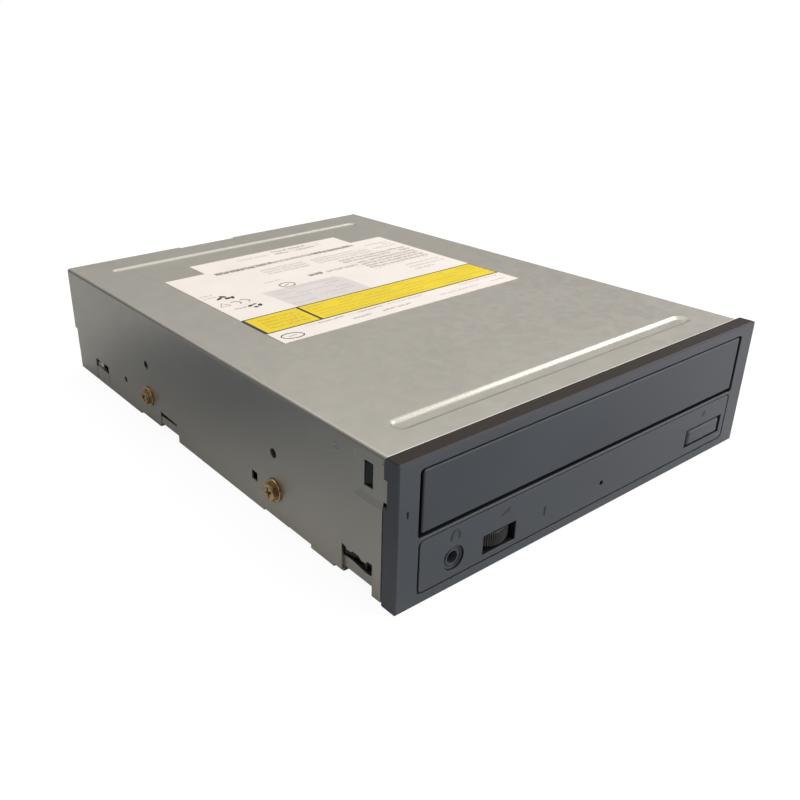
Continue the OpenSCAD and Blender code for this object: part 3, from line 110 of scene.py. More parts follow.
def lightTheRoom(air):
    world = bpy.data.worlds.new("studioAir")
    bpy.context.scene.world = world
    world.use_nodes = True
    tree = world.node_tree
    tree.nodes.clear()
    out = tree.nodes.new("ShaderNodeOutputWorld")
    coords = tree.nodes.new("ShaderNodeTexCoord")
    split = tree.nodes.new("ShaderNodeSeparateXYZ")
    tree.links.new(coords.outputs["Generated"], split.inputs[0])
    ramp = tree.nodes.new("ShaderNodeValToRGB")
    tree.links.new(split.outputs["Z"], ramp.inputs[0])
    ramp.color_ramp.elements[0].color = (*air["steps"][0][1], 1)
    ramp.color_ramp.elements[1].color = (*air["steps"][-1][1], 1)
    for height, tint in air["steps"][1:-1]:
        ramp.color_ramp.elements.new(height).color = (*tint, 1)
    side = tree.nodes.new("ShaderNodeMapRange")
    tree.links.new(split.outputs["X"], side.inputs["Value"])
    side.inputs["From Min"].default_value = -0.6
    side.inputs["From Max"].default_value = 0.35
    side.inputs["To Min"].default_value = 1 - air["leftDim"]
    side.inputs["To Max"].default_value = 1.0
    room = tree.nodes.new("ShaderNodeBackground")
    tree.links.new(ramp.outputs[0], room.inputs["Color"])
    tree.links.new(side.outputs[0], room.inputs["Strength"])
    back = tree.nodes.new("ShaderNodeBackground")
    back.inputs["Color"].default_value = (*air["backdrop"], 1)
    seen = tree.nodes.new("ShaderNodeLightPath")
    pick = tree.nodes.new("ShaderNodeMixShader")
    tree.links.new(seen.outputs["Is Camera Ray"], pick.inputs[0])
    tree.links.new(room.outputs[0], pick.inputs[1])
    tree.links.new(back.outputs[0], pick.inputs[2])
    tree.links.new(pick.outputs[0], out.inputs[0])
    bpy.context.scene.view_settings.view_transform = "Standard"


# small helpers for shader nodes

def feed(tree, socket, value):
    if isinstance(value, bpy.types.NodeSocket):
        tree.links.new(value, socket)
    elif isinstance(value, (tuple, list)) and len(value) == 3 and socket.type == "RGBA":
        socket.default_value = (*value, 1)
    else:
        socket.default_value = value


def addNode(tree, kind, inputs, **settings):
    node = tree.nodes.new("ShaderNode" + kind)
    for key, value in settings.items():
        setattr(node, key, value)
    for key, value in inputs.items():
        feed(tree, node.inputs[key], value)
    return node


def spread(tree, value, low, high, toLow, toHigh):
    return addNode(tree, "MapRange", {"Value": value, "From Min": low, "From Max": high,
                                      "To Min": toLow, "To Max": toHigh}).outputs[0]


def blend(tree, factor, a, b, kind="MIX"):
    mix = tree.nodes.new("ShaderNodeMix")
    mix.data_type = "RGBA"
    mix.blend_type = kind
    feed(tree, mix.inputs[0], factor)
    feed(tree, mix.inputs[6], a)
    feed(tree, mix.inputs[7], b)
    return mix.outputs[2]


floorLook = {
    "size": 8.0,
    "paint": (0.12, 0.12, 0.12),       # how much of a shadow the pale floor shows
    "lift": 0.93,                      # its own glow keeps it white
    # what the floor and the cards on it give back to the object
    "besideNear": (1.0, 1.0, 1.0), "besideFar": (0.38, 0.40, 0.43),
    "besideNearRear": (0.68, 0.69, 0.70), "besideFarRear": (0.16, 0.18, 0.22),
    "behind": (0.60, 0.61, 0.61),
    "frontLeft": (0.42, 0.43, 0.45), "frontRight": (0.80, 0.78, 0.77),
}


def layFloor(look):
    half = look["size"] / 2
    mesh = bpy.data.meshes.new("floor")
    mesh.from_pydata([(-half, -half, 0), (half, -half, 0), (half, half, 0), (-half, half, 0)], [], [(0, 1, 2, 3)])
    floor = bpy.data.objects.new("floor", mesh)
    floor.location.z = -0.05 * mm
    bpy.context.scene.collection.objects.link(floor)
    paint = bpy.data.materials.new("floorPaint")
    paint.use_nodes = True
    tree = paint.node_tree
    tree.nodes.clear()
    out = tree.nodes.new("ShaderNodeOutputMaterial")
    pale = addNode(tree, "BsdfDiffuse", {"Color": look["paint"]})
    glow = addNode(tree, "Emission", {"Strength": look["lift"]})
    both = addNode(tree, "AddShader", {0: pale.outputs[0], 1: glow.outputs[0]})
    coords = tree.nodes.new("ShaderNodeTexCoord").outputs["Object"]
    place = addNode(tree, "SeparateXYZ", {0: coords})
    near = spread(tree, place.outputs["X"], -0.108, -0.078, 0, 1)
    behind = spread(tree, place.outputs["Y"], 0.195, 0.235, 0, 1)
    front = spread(tree, place.outputs["Y"], 0.0, -0.02, 0, 1)
    right = spread(tree, place.outputs["X"], -0.06, 0.16, 0, 1)
    rear = spread(tree, place.outputs["Y"], 0.05, 0.12, 0, 1)
    card = blend(tree, near, blend(tree, rear, look["besideFar"], look["besideFarRear"]),
                 blend(tree, rear, look["besideNear"], look["besideNearRear"]))
    card = blend(tree, behind, card, look["behind"])
    card = blend(tree, front, card, blend(tree, right, look["frontLeft"], look["frontRight"]))
    bounce = addNode(tree, "BsdfDiffuse", {"Color": card})
    seen = tree.nodes.new("ShaderNodeLightPath")
    pick = addNode(tree, "MixShader", {0: seen.outputs["Is Camera Ray"], 1: bounce.outputs[0], 2: both.outputs[0]})
    tree.links.new(pick.outputs[0], out.inputs[0])
    mesh.materials.append(paint)


placeCamera(cameraSetup)
placeSoftBoxes(softBoxes)
lightTheRoom(studioAir)
layFloor(floorLook)
print("stage: camera, lights and floor ready")


# shared starts of the finishes

def startFinish(name):
    finish = bpy.data.materials.new(name)
    finish.use_nodes = True
    tree = finish.node_tree
    tree.nodes.clear()
    out = tree.nodes.new("ShaderNodeOutputMaterial")
    shader = tree.nodes.new("ShaderNodeBsdfPrincipled")
    tree.links.new(shader.outputs[0], out.inputs[0])
    coords = tree.nodes.new("ShaderNodeTexCoord").outputs["Object"]
    return finish, tree, shader, coords


def cloud(tree, coords, size, detail=2.0, rough=0.5):
    # soft noise with blobs of about that size
    return addNode(tree, "TexNoise", {"Vector": coords, "Scale": 1 / size, "Detail": detail, "Roughness": rough}).outputs[0]


def stretched(tree, coords, scale):
    return addNode(tree, "Mapping", {"Vector": coords, "Scale": scale}).outputs[0]


def sum2(tree, a, b, operation="ADD"):
    return addNode(tree, "Math", {0: a, 1: b}, operation=operation).outputs[0]


def roundedNormal(tree, radius):
    return addNode(tree, "Bevel", {"Radius": radius}, samples=4).outputs[0]


def edgeMask(tree, rounded):
    # 1 along sharp outer edges, 0 on the flats
    plain = tree.nodes.new("ShaderNodeNewGeometry").outputs["True Normal"]
    dot = addNode(tree, "VectorMath", {0: rounded, 1: plain}, operation="DOT_PRODUCT").outputs["Value"]
    return spread(tree, dot, 0.985, 0.86, 0.0, 1.0)


def bump(tree, height, depth, strength, under):
    return addNode(tree, "Bump", {"Height": height, "Distance": depth, "Strength": strength, "Normal": under}).outputs[0]


def setFixed(shader, fixed):
    for key, value in fixed.items():
        shader.inputs[key].default_value = value


# finishes of the metal parts

caseSteelLook = {
    "light": (0.452, 0.436, 0.392), "dark": (0.424, 0.409, 0.368),
    # the bright front-edge colour is a painted highlight on the top sheet; the edge colour is part wear, part painted
    # highlight
    "edge": (0.72, 0.71, 0.68), "edgeShare": 0.35, "paintedFrontHighlight": (1.0, 0.98, 0.95),
    "spangle": 2.6 * mm, "spangleShare": 0.012,
    "rough": (0.36, 0.44), "round": 0.35 * mm, "scratchShare": 0.05,
    "fixed": {"Metallic": 0.92},
}


def caseSteel(name, look):
    finish, tree, shader, coords = startFinish(name)
    drift = cloud(tree, coords, 45 * mm, 3)
    cells = addNode(tree, "TexVoronoi", {"Vector": coords, "Scale": 1 / look["spangle"]})
    cellTone = addNode(tree, "SeparateColor", {0: cells.outputs["Color"]}).outputs[0]
    fine = cloud(tree, coords, 0.5 * mm, 3, 0.6)
    rolled = cloud(tree, stretched(tree, coords, (1.0, 0.06, 1.0)), 0.35 * mm, 3)
    rounded = roundedNormal(tree, look["round"])
    edges = edgeMask(tree, rounded)
    tone = blend(tree, spread(tree, drift, 0.3, 0.7, 0, 1), look["dark"], look["light"])
    tone = blend(tree, look["spangleShare"], tone, addNode(tree, "CombineColor", {0: cellTone, 1: cellTone, 2: cellTone}).outputs[0],
                 "OVERLAY")
    tone = blend(tree, spread(tree, rolled, 0.58, 0.75, 0, look["scratchShare"]), tone, look["edge"])
    # edges lightened along the bevel mask: part wear, part painted highlight
    wearAndHighlight = sum2(tree, edges, spread(tree, fine, 0.35, 0.65, 0.35, 1.0), "MULTIPLY")
    tone = blend(tree, sum2(tree, wearAndHighlight, look["edgeShare"], "MULTIPLY"), tone, look["edge"])
    # painted highlight: a bright line along the front edge of the top sheet
    place = addNode(tree, "SeparateXYZ", {0: coords})
    front = spread(tree, place.outputs["Y"], 1.0 * mm, 0.7 * mm, 0.0, 1.0)
    upper = spread(tree, place.outputs["Z"], 40.9 * mm, 41.1 * mm, 0.0, 1.0)
    tone = blend(tree, sum2(tree, front, upper, "MULTIPLY"), tone, look["paintedFrontHighlight"])
    feed(tree, shader.inputs["Base Color"], tone)
    matt = spread(tree, sum2(tree, cellTone, sum2(tree, fine, rolled)), 0.6, 2.0, look["rough"][0], look["rough"][1])
    feed(tree, shader.inputs["Roughness"], matt)
    wavy = bump(tree, cloud(tree, coords, 30 * mm, 1), 0.08 * mm, 0.12, rounded)
    feed(tree, shader.inputs["Normal"], bump(tree, fine, 0.012 * mm, 0.5, wavy))
    setFixed(shader, look["fixed"])
    return finish


screwSteelLook = {
    "light": (0.74, 0.73, 0.71), "dark": (0.55, 0.545, 0.53), "edge": (0.92, 0.91, 0.90), "edgeShare": 0.5,
    "rough": (0.16, 0.32), "round": 0.09 * mm, "fixed": {"Metallic": 1.0},
}

motorCanLook = {
    "light": (0.62, 0.61, 0.58), "dark": (0.47, 0.465, 0.45), "edge": (0.85, 0.84, 0.81), "edgeShare": 0.4,
    "rough": (0.26, 0.42), "round": 0.2 * mm, "fixed": {"Metallic": 1.0},
}

pickupMetalLook = {
    "light": (0.20, 0.20, 0.215), "dark": (0.13, 0.13, 0.14), "edge": (0.45, 0.45, 0.46), "edgeShare": 0.4,
    "rough": (0.42, 0.6), "round": 0.2 * mm, "fixed": {"Metallic": 0.85},
}

magnetLook = {
    "light": (0.22, 0.22, 0.23), "dark": (0.14, 0.14, 0.145), "edge": (0.42, 0.42, 0.43), "edgeShare": 0.3,
    "rough": (0.45, 0.65), "round": 0.12 * mm, "fixed": {"Metallic": 0.7},
}

pinMetalLook = {
    "light": (0.86, 0.70, 0.36), "dark": (0.70, 0.56, 0.30), "edge": (0.97, 0.88, 0.62), "edgeShare": 0.4,
    "rough": (0.16, 0.3), "round": 0.06 * mm, "fixed": {"Metallic": 1.0},
}


def turnedMetal(name, look):
    # plated or turned parts: fine rings from machining and a bright edge, part wear and part painted highlight
    finish, tree, shader, coords = startFinish(name)
    rounded = roundedNormal(tree, look["round"])
    edges = edgeMask(tree, rounded)
    blot = cloud(tree, coords, 3 * mm, 3)
    streak = cloud(tree, stretched(tree, coords, (1, 1, 8)), 0.25 * mm, 2)
    tone = blend(tree, spread(tree, blot, 0.32, 0.68, 0, 1), look["dark"], look["light"])
    tone = blend(tree, sum2(tree, edges, look["edgeShare"], "MULTIPLY"), tone, look["edge"])
    feed(tree, shader.inputs["Base Color"], tone)
    feed(tree, shader.inputs["Roughness"], spread(tree, sum2(tree, blot, streak), 0.6, 1.4, *look["rough"]))
    feed(tree, shader.inputs["Normal"], bump(tree, streak, 0.008 * mm, 0.5, rounded))
    setFixed(shader, look["fixed"])
    return finish


goldZincLook = {
    "gold": (0.60, 0.44, 0.20), "green": (0.26, 0.30, 0.13), "rose": (0.52, 0.20, 0.16), "edge": (0.98, 0.88, 0.72),
    "rough": (0.10, 0.22), "round": 0.1 * mm, "fixed": {"Metallic": 1.0},
}


def goldZinc(name, look):
    # yellow chromate: gold with drifting green and rose tints
    finish, tree, shader, coords = startFinish(name)
    rounded = roundedNormal(tree, look["round"])
    edges = edgeMask(tree, rounded)
    first = cloud(tree, coords, 1.6 * mm, 2)
    second = cloud(tree, stretched(tree, coords, (1.3, 0.8, 1.1)), 1.1 * mm, 2)
    tone = blend(tree, spread(tree, first, 0.43, 0.58, 0, 0.85), look["gold"], look["green"])
    tone = blend(tree, spread(tree, second, 0.47, 0.62, 0, 0.85), tone, look["rose"])
    # edges lightened: part wear, part painted highlight
    tone = blend(tree, sum2(tree, edges, 0.6, "MULTIPLY"), tone, look["edge"])
    feed(tree, shader.inputs["Base Color"], tone)
    feed(tree, shader.inputs["Roughness"], spread(tree, sum2(tree, first, second), 0.7, 1.3, *look["rough"]))
    feed(tree, shader.inputs["Normal"], bump(tree, cloud(tree, coords, 0.2 * mm, 2), 0.006 * mm, 0.5, rounded))
    setFixed(shader, look["fixed"])
    return finish


# finishes of the moulded parts

bezelPlasticLook = {
    "light": (0.080, 0.089, 0.101), "dark": (0.067, 0.075, 0.086), "edge": (0.13, 0.14, 0.15), "edgeShare": 0.4,
    # the top face's colour is painted shade
    "upper": (0.028, 0.019, 0.016), "upperRough": 0.35,
    "recess": (0.018, 0.019, 0.021),   # painted shade in gaps, wells and all that lies behind the face
    "grain": 0.22 * mm, "depth": 0.02 * mm, "strength": 0.55,
    "rough": (0.42, 0.56), "round": 0.3 * mm, "fixed": {"Specular IOR Level": 0.34},
}

jackPlasticLook = {key: bezelPlasticLook[key] for key in bezelPlasticLook if key not in ("upper", "upperRough", "recess")}

doorPlasticLook = dict(bezelPlasticLook, light=(0.066, 0.075, 0.088), dark=(0.054, 0.062, 0.074))

trayPlasticLook = {
    "light": (0.040, 0.040, 0.043), "dark": (0.029, 0.029, 0.032), "edge": (0.09, 0.09, 0.095), "edgeShare": 0.45,
    "grain": 0.3 * mm, "depth": 0.015 * mm, "strength": 0.45,
    "rough": (0.36, 0.52), "round": 0.25 * mm, "fixed": {"Specular IOR Level": 0.5},
}

framePlasticLook = {
    "light": (0.060, 0.060, 0.064), "dark": (0.042, 0.042, 0.046), "edge": (0.12, 0.12, 0.125), "edgeShare": 0.4,
    "grain": 0.5 * mm, "depth": 0.02 * mm, "strength": 0.5,
    "rough": (0.48, 0.66), "round": 0.25 * mm, "fixed": {"Specular IOR Level": 0.4},
}

acetalLook = {
    "light": (0.80, 0.78, 0.71), "dark": (0.72, 0.70, 0.62), "edge": (0.90, 0.89, 0.85), "edgeShare": 0.35,
    "grain": 0.6 * mm, "depth": 0.008 * mm, "strength": 0.3, "rough": (0.28, 0.4), "round": 0.15 * mm,
    "fixed": {"Subsurface Weight": 0.15, "Subsurface Scale": 0.001},
}

nylonLook = {
    "light": (0.84, 0.83, 0.78), "dark": (0.77, 0.75, 0.68), "edge": (0.93, 0.92, 0.89), "edgeShare": 0.35,
    "grain": 0.4 * mm, "depth": 0.01 * mm, "strength": 0.3, "rough": (0.34, 0.48), "round": 0.18 * mm,
    "fixed": {"Subsurface Weight": 0.12, "Subsurface Scale": 0.001},
}

epoxyLook = {
    "light": (0.030, 0.030, 0.032), "dark": (0.020, 0.020, 0.022), "edge": (0.08, 0.08, 0.085), "edgeShare": 0.4,
    "grain": 0.16 * mm, "depth": 0.01 * mm, "strength": 0.5, "rough": (0.40, 0.56), "round": 0.14 * mm,
    "fixed": {"Specular IOR Level": 0.5},
}

rubberLook = {
    "light": (0.022, 0.022, 0.022), "dark": (0.014, 0.014, 0.014), "edge": (0.045, 0.045, 0.045), "edgeShare": 0.4,
    "grain": 0.35 * mm, "depth": 0.015 * mm, "strength": 0.5, "rough": (0.62, 0.82), "round": 0.2 * mm,
    "fixed": {"Specular IOR Level": 0.3},
}

jumperLook = {
    "light": (0.055, 0.11, 0.42), "dark": (0.035, 0.08, 0.33), "edge": (0.12, 0.2, 0.55), "edgeShare": 0.4,
    "grain": 0.3 * mm, "depth": 0.01 * mm, "strength": 0.3, "rough": (0.3, 0.45), "round": 0.15 * mm, "fixed": {},
}

smokedLook = {
    "light": (0.030, 0.030, 0.034), "dark": (0.020, 0.020, 0.024), "edge": (0.07, 0.07, 0.075), "edgeShare": 0.3,
    "grain": 0.5 * mm, "depth": 0.006 * mm, "strength": 0.3, "rough": (0.10, 0.2), "round": 0.1 * mm,
    "fixed": {"IOR": 1.49},
}

lampLook = {
    "light": (0.74, 0.80, 0.70), "dark": (0.60, 0.68, 0.58), "edge": (0.88, 0.92, 0.86), "edgeShare": 0.4,
    "grain": 0.5 * mm, "depth": 0.006 * mm, "strength": 0.3, "rough": (0.12, 0.22), "round": 0.1 * mm,
    "fixed": {"Transmission Weight": 0.55, "IOR": 1.49},
}


def recessMask(tree, coords):
    # painted shade mask: 1 inside the frame's outline just behind its face, and everywhere behind the bezel
    place = addNode(tree, "SeparateXYZ", {0: coords})
    across = addNode(tree, "Math", {0: place.outputs["X"]}, operation="ABSOLUTE").outputs[0]
    within = spread(tree, across, 73.6 * mm, 73.3 * mm, 0.0, 1.0)
    above = spread(tree, place.outputs["Z"], 0.2 * mm, 0.5 * mm, 0.0, 1.0)
    sunk = spread(tree, place.outputs["Y"], -4.62 * mm, -4.4 * mm, 0.0, 1.0)
    behind = spread(tree, place.outputs["Y"], 0.2 * mm, 0.4 * mm, 0.0, 1.0)
    below = spread(tree, place.outputs["Z"], 40.8 * mm, 40.5 * mm, 0.0, 1.0)
    sunk = sum2(tree, sum2(tree, sunk, within, "MULTIPLY"), sum2(tree, above, below, "MULTIPLY"), "MULTIPLY")
    return sum2(tree, sunk, behind, "MAXIMUM")


def mouldedPlastic(name, look):
    # spark-eroded grain, faint flow marks, and edges polished by handling and lightened with a painted highlight
    finish, tree, shader, coords = startFinish(name)
    rounded = roundedNormal(tree, look["round"])
    edges = edgeMask(tree, rounded)
    flow = cloud(tree, stretched(tree, coords, (0.5, 1, 1)), 18 * mm, 3)
    grain = cloud(tree, coords, look["grain"], 3, 0.65)
    tone = blend(tree, spread(tree, sum2(tree, flow, sum2(tree, grain, 0.4, "MULTIPLY")), 0.5, 0.9, 0, 1),
                 look["dark"], look["light"])
    tone = blend(tree, sum2(tree, edges, look["edgeShare"], "MULTIPLY"), tone, look["edge"])
    matt = spread(tree, sum2(tree, grain, flow), 0.7, 1.3, *look["rough"])
    if "upper" in look:
        # painted shade: the top face is darker and browner, and also duller
        normal = tree.nodes.new("ShaderNodeTexCoord").outputs["Normal"]
        upward = spread(tree, addNode(tree, "SeparateXYZ", {0: normal}).outputs["Z"], 0.5, 0.9, 0.0, 1.0)
        height = addNode(tree, "SeparateXYZ", {0: coords}).outputs["Z"]
        upward = sum2(tree, upward, spread(tree, height, 40.9 * mm, 41.1 * mm, 0.0, 1.0), "MULTIPLY")
        tone = blend(tree, upward, tone, look["upper"])
        matt = sum2(tree, matt, sum2(tree, upward, look["upperRough"], "MULTIPLY"))
    if "recess" in look:
        # painted shade in gaps, wells and behind the face
        tone = blend(tree, recessMask(tree, coords), tone, look["recess"])
    feed(tree, shader.inputs["Base Color"], tone)
    feed(tree, shader.inputs["Roughness"], sum2(tree, matt, sum2(tree, edges, 0.1, "MULTIPLY"), "SUBTRACT"))
    feed(tree, shader.inputs["Normal"], bump(tree, grain, look["depth"], look["strength"], rounded))
    setFixed(shader, look["fixed"])
    return finish


# finishes of the boards, film and glass

boardLook = {
    "mask": (0.012, 0.105, 0.045), "trace": (0.03, 0.19, 0.085), "via": (0.45, 0.40, 0.25),
    "trackPitch": 1.4 * mm, "viaPitch": 4.6 * mm, "rough": (0.22, 0.34), "round": 0.12 * mm,
    "fixed": {"Specular IOR Level": 0.5},
}


def solderMask(name, look):
    finish, tree, shader, coords = startFinish(name)
    rounded = roundedNormal(tree, look["round"])
    # copper tracks that turn at square cells, and vias between them
    cells = addNode(tree, "TexVoronoi", {"Vector": coords, "Scale": 1 / (9 * mm), "Randomness": 0.7}, distance="CHEBYCHEV")
    turn = addNode(tree, "SeparateColor", {0: cells.outputs["Color"]}).outputs[0]
    lines = addNode(tree, "TexWave", {"Vector": coords, "Scale": 0.16 / look["trackPitch"], "Distortion": 0.0}, bands_direction="X")
    across = addNode(tree, "TexWave", {"Vector": coords, "Scale": 0.16 / look["trackPitch"], "Distortion": 0.0}, bands_direction="Y")
    pick = spread(tree, turn, 0.48, 0.52, 0, 1)
    track = blend(tree, pick, lines.outputs["Color"], across.outputs["Color"])
    trackFac = spread(tree, track, 0.55, 0.65, 0, 1)
    vias = addNode(tree, "TexVoronoi", {"Vector": coords, "Scale": 1 / look["viaPitch"], "Randomness": 0.8}).outputs["Distance"]
    viaFac = spread(tree, vias, 0.09, 0.07, 0, 1)
    tone = blend(tree, trackFac, look["mask"], look["trace"])
    tone = blend(tree, viaFac, tone, look["via"])
    feed(tree, shader.inputs["Base Color"], tone)
    feed(tree, shader.inputs["Roughness"], spread(tree, cloud(tree, coords, 2 * mm, 2), 0.3, 0.7, *look["rough"]))
    feed(tree, shader.inputs["Normal"], bump(tree, trackFac, 0.03 * mm, 0.6, rounded))
    setFixed(shader, look["fixed"])
    return finish


ribbonLook = {
    "film": (0.80, 0.79, 0.74), "wire": (0.62, 0.61, 0.57), "pitch": 1.0 * mm, "rough": (0.2, 0.3), "fixed": {},
}


def ribbonFilm(name, look):
    finish, tree, shader, coords = startFinish(name)
    wires = addNode(tree, "TexWave", {"Vector": coords, "Scale": 0.32 / look["pitch"] / 2}, bands_direction="X").outputs["Fac"]
    soft = cloud(tree, coords, 5 * mm, 2)
    feed(tree, shader.inputs["Base Color"], blend(tree, spread(tree, wires, 0.4, 0.7, 0, 0.8), look["film"], look["wire"]))
    feed(tree, shader.inputs["Roughness"], spread(tree, soft, 0.3, 0.7, *look["rough"]))
    plain = tree.nodes.new("ShaderNodeNewGeometry").outputs["Normal"]
    feed(tree, shader.inputs["Normal"], bump(tree, wires, 0.05 * mm, 0.5, plain))
    setFixed(shader, look["fixed"])
    return finish


labelFilmLook = {
    "light": (0.86, 0.80, 0.745), "dark": (0.83, 0.77, 0.715), "rough": (0.42, 0.52),
    "fixed": {"Specular IOR Level": 0.16},
}

yellowInkLook = {
    "light": (0.82, 0.635, 0.030), "dark": (0.77, 0.575, 0.022), "rough": (0.42, 0.52), "fixed": {"Specular IOR Level": 0.14},
}

amberInkLook = {
    "light": (0.68, 0.49, 0.030), "dark": (0.62, 0.44, 0.026), "rough": (0.42, 0.52), "fixed": {"Specular IOR Level": 0.14},
}

fieldInkLook = {
    "light": (0.715, 0.665, 0.635), "dark": (0.675, 0.625, 0.60), "rough": (0.42, 0.52), "fixed": {"Specular IOR Level": 0.14},
}

blackInkLook = {
    "light": (0.030, 0.026, 0.022), "dark": (0.018, 0.016, 0.014), "rough": (0.4, 0.5), "fixed": {"Specular IOR Level": 0.3},
}

greyInkLook = {
    "light": (0.27, 0.25, 0.23), "dark": (0.20, 0.185, 0.17), "rough": (0.4, 0.5), "fixed": {"Specular IOR Level": 0.2},
}

tintInkLook = {
    "light": (0.84, 0.772, 0.714), "dark": (0.77, 0.708, 0.657), "rough": (0.42, 0.52), "fixed": {"Specular IOR Level": 0.16},
}

paleInkLook = {
    "light": (0.66, 0.61, 0.57), "dark": (0.61, 0.565, 0.53), "rough": (0.4, 0.5), "fixed": {"Specular IOR Level": 0.2},
}

fieldLineLook = {
    "light": (0.60, 0.56, 0.545), "dark": (0.57, 0.53, 0.515), "rough": (0.4, 0.5), "fixed": {"Specular IOR Level": 0.2},
}

faintInkLook = {
    "light": (0.50, 0.465, 0.435), "dark": (0.44, 0.41, 0.385), "rough": (0.4, 0.5), "fixed": {"Specular IOR Level": 0.2},
}


def printedFilm(name, look):
    # coated label stock: slight tone drift and an orange-peel gloss
    finish, tree, shader, coords = startFinish(name)
    drift = cloud(tree, coords, 12 * mm, 3)
    peel = cloud(tree, coords, 0.7 * mm, 2)
    feed(tree, shader.inputs["Base Color"], blend(tree, spread(tree, sum2(tree, drift, sum2(tree, peel, 0.3, "MULTIPLY")),
                                                               0.45, 0.85, 0, 1), look["dark"], look["light"]))
    feed(tree, shader.inputs["Roughness"], spread(tree, drift, 0.3, 0.7, *look["rough"]))
    plain = tree.nodes.new("ShaderNodeNewGeometry").outputs["Normal"]
    feed(tree, shader.inputs["Normal"], bump(tree, peel, 0.01 * mm, 0.3, plain))
    setFixed(shader, look["fixed"])
    return finish


lensLook = {
    "centre": (0.50, 0.62, 0.88), "rim": (0.55, 0.45, 0.80), "rough": (0.02, 0.05),
    "fixed": {"Transmission Weight": 0.7, "IOR": 1.55, "Coat Weight": 0.4},
}


def coatedGlass(name, look):
    finish, tree, shader, coords = startFinish(name)
    facing = addNode(tree, "LayerWeight", {"Blend": 0.5}).outputs["Facing"]
    feed(tree, shader.inputs["Base Color"], blend(tree, facing, look["centre"], look["rim"]))
    feed(tree, shader.inputs["Roughness"], spread(tree, cloud(tree, coords, 1 * mm), 0.3, 0.7, *look["rough"]))
    setFixed(shader, look["fixed"])
    return finish


finishes = {
    "caseSteel": caseSteel("caseSteel", caseSteelLook),
    "screwSteel": turnedMetal("screwSteel", screwSteelLook),
    "motorCan": turnedMetal("motorCan", motorCanLook),
    "pickupMetal": turnedMetal("pickupMetal", pickupMetalLook),
    "magnet": turnedMetal("magnet", magnetLook),
    "pinMetal": turnedMetal("pinMetal", pinMetalLook),
    "goldZinc": goldZinc("goldZinc", goldZincLook),
    "bezelPlastic": mouldedPlastic("bezelPlastic", bezelPlasticLook),
    "jackPlastic": mouldedPlastic("jackPlastic", jackPlasticLook),
    "doorPlastic": mouldedPlastic("doorPlastic", doorPlasticLook),
    "trayPlastic": mouldedPlastic("trayPlastic", trayPlasticLook),
    "framePlastic": mouldedPlastic("framePlastic", framePlasticLook),
    "acetal": mouldedPlastic("acetal", acetalLook),
    "nylon": mouldedPlastic("nylon", nylonLook),
    "epoxy": mouldedPlastic("epoxy", epoxyLook),
    "rubber": mouldedPlastic("rubber", rubberLook),
    "jumperBlue": mouldedPlastic("jumperBlue", jumperLook),
    "lampPlastic": mouldedPlastic("lampPlastic", lampLook),
    "smokedPlastic": mouldedPlastic("smokedPlastic", smokedLook),
    "solderMask": solderMask("solderMask", boardLook),
    "ribbonFilm": ribbonFilm("ribbonFilm", ribbonLook),
    "labelFilm": printedFilm("labelFilm", labelFilmLook),
    "yellowInk": printedFilm("yellowInk", yellowInkLook),
    "blackInk": printedFilm("blackInk", blackInkLook),
    "greyInk": printedFilm("greyInk", greyInkLook),
    "faintInk": printedFilm("faintInk", faintInkLook),
    "amberInk": printedFilm("amberInk", amberInkLook),
    "fieldInk": printedFilm("fieldInk", fieldInkLook),
    "paleInk": printedFilm("paleInk", paleInkLook),
    "tintInk": printedFilm("tintInk", tintInkLook),
    "fieldLine": printedFilm("fieldLine", fieldLineLook),
    "coatedGlass": coatedGlass("coatedGlass", lensLook),
}

nodeFinish = {
    "caseSteel": ["top_cover", "bottom_plate", "clamper_bridge", "traverse_plate"],
    "screwSteel": ["case_screws", "damper_screws", "board_screws", "gear_washers", "guide_rods", "lead_screw", "centring_hub"],
    "motorCan": ["spindle_base", "spindle_rotor", "sled_motor", "loading_motor", "board_capacitors"],
    "pickupMetal": ["pickup_body"],
    "magnet": ["clamper_magnet"],
    "pinMetal": ["interface_pins", "power_pins"],
    "goldZinc": ["guide_screws"],
    "bezelPlastic": ["front_bezel", "eject_button"],
    "doorPlastic": ["tray_door"],
    "jackPlastic": ["headphone_jack"],
    "trayPlastic": ["disc_tray", "clamper", "turntable"],
    "framePlastic": ["loader_frame", "sub_chassis"],
    "acetal": ["motor_pulley", "pulley_gear", "drive_gear", "cam_slider"],
    "nylon": ["audio_header", "digital_header"],
    "epoxy": ["volume_pot", "volume_wheel", "lens_holder", "board_chips", "interface_header", "jumper_header", "eject_switch",
              "power_socket"],
    "rubber": ["damper_bushes", "turntable_pad", "drive_belt"],
    "jumperBlue": ["jumper_cap"],
    "lampPlastic": ["status_led"],
    "smokedPlastic": ["light_pipe"],
    "solderMask": ["main_board", "front_board"],
    "ribbonFilm": ["front_ribbon"],
    "labelFilm": ["case_label"],
    "coatedGlass": ["objective_lens"],
}


def dressNodes(choice):
    for finishName, names in choice.items():
        for name in names:
            mesh = frame["nodes"][name].data
            if not mesh.materials:
                mesh.materials.append(finishes[finishName])
            for index in range(len(mesh.materials)):
                mesh.materials[index] = finishes[finishName]


dressNodes(nodeFinish)
print("stage: CAD nodes dressed with", len(finishes), "finishes")


# helpers for pieces

def makePiece(name, bm, materials, body, smooth=False):
    mesh = bpy.data.meshes.new(name)
    bm.normal_update()
    bm.to_mesh(mesh)
    bm.free()
    for material in materials:
        mesh.materials.append(finishes[material])
    if smooth:
        mesh.shade_smooth()
    piece = bpy.data.objects.new(name, mesh)
    bpy.context.scene.collection.objects.link(piece)
    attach(piece, body)
    return piece


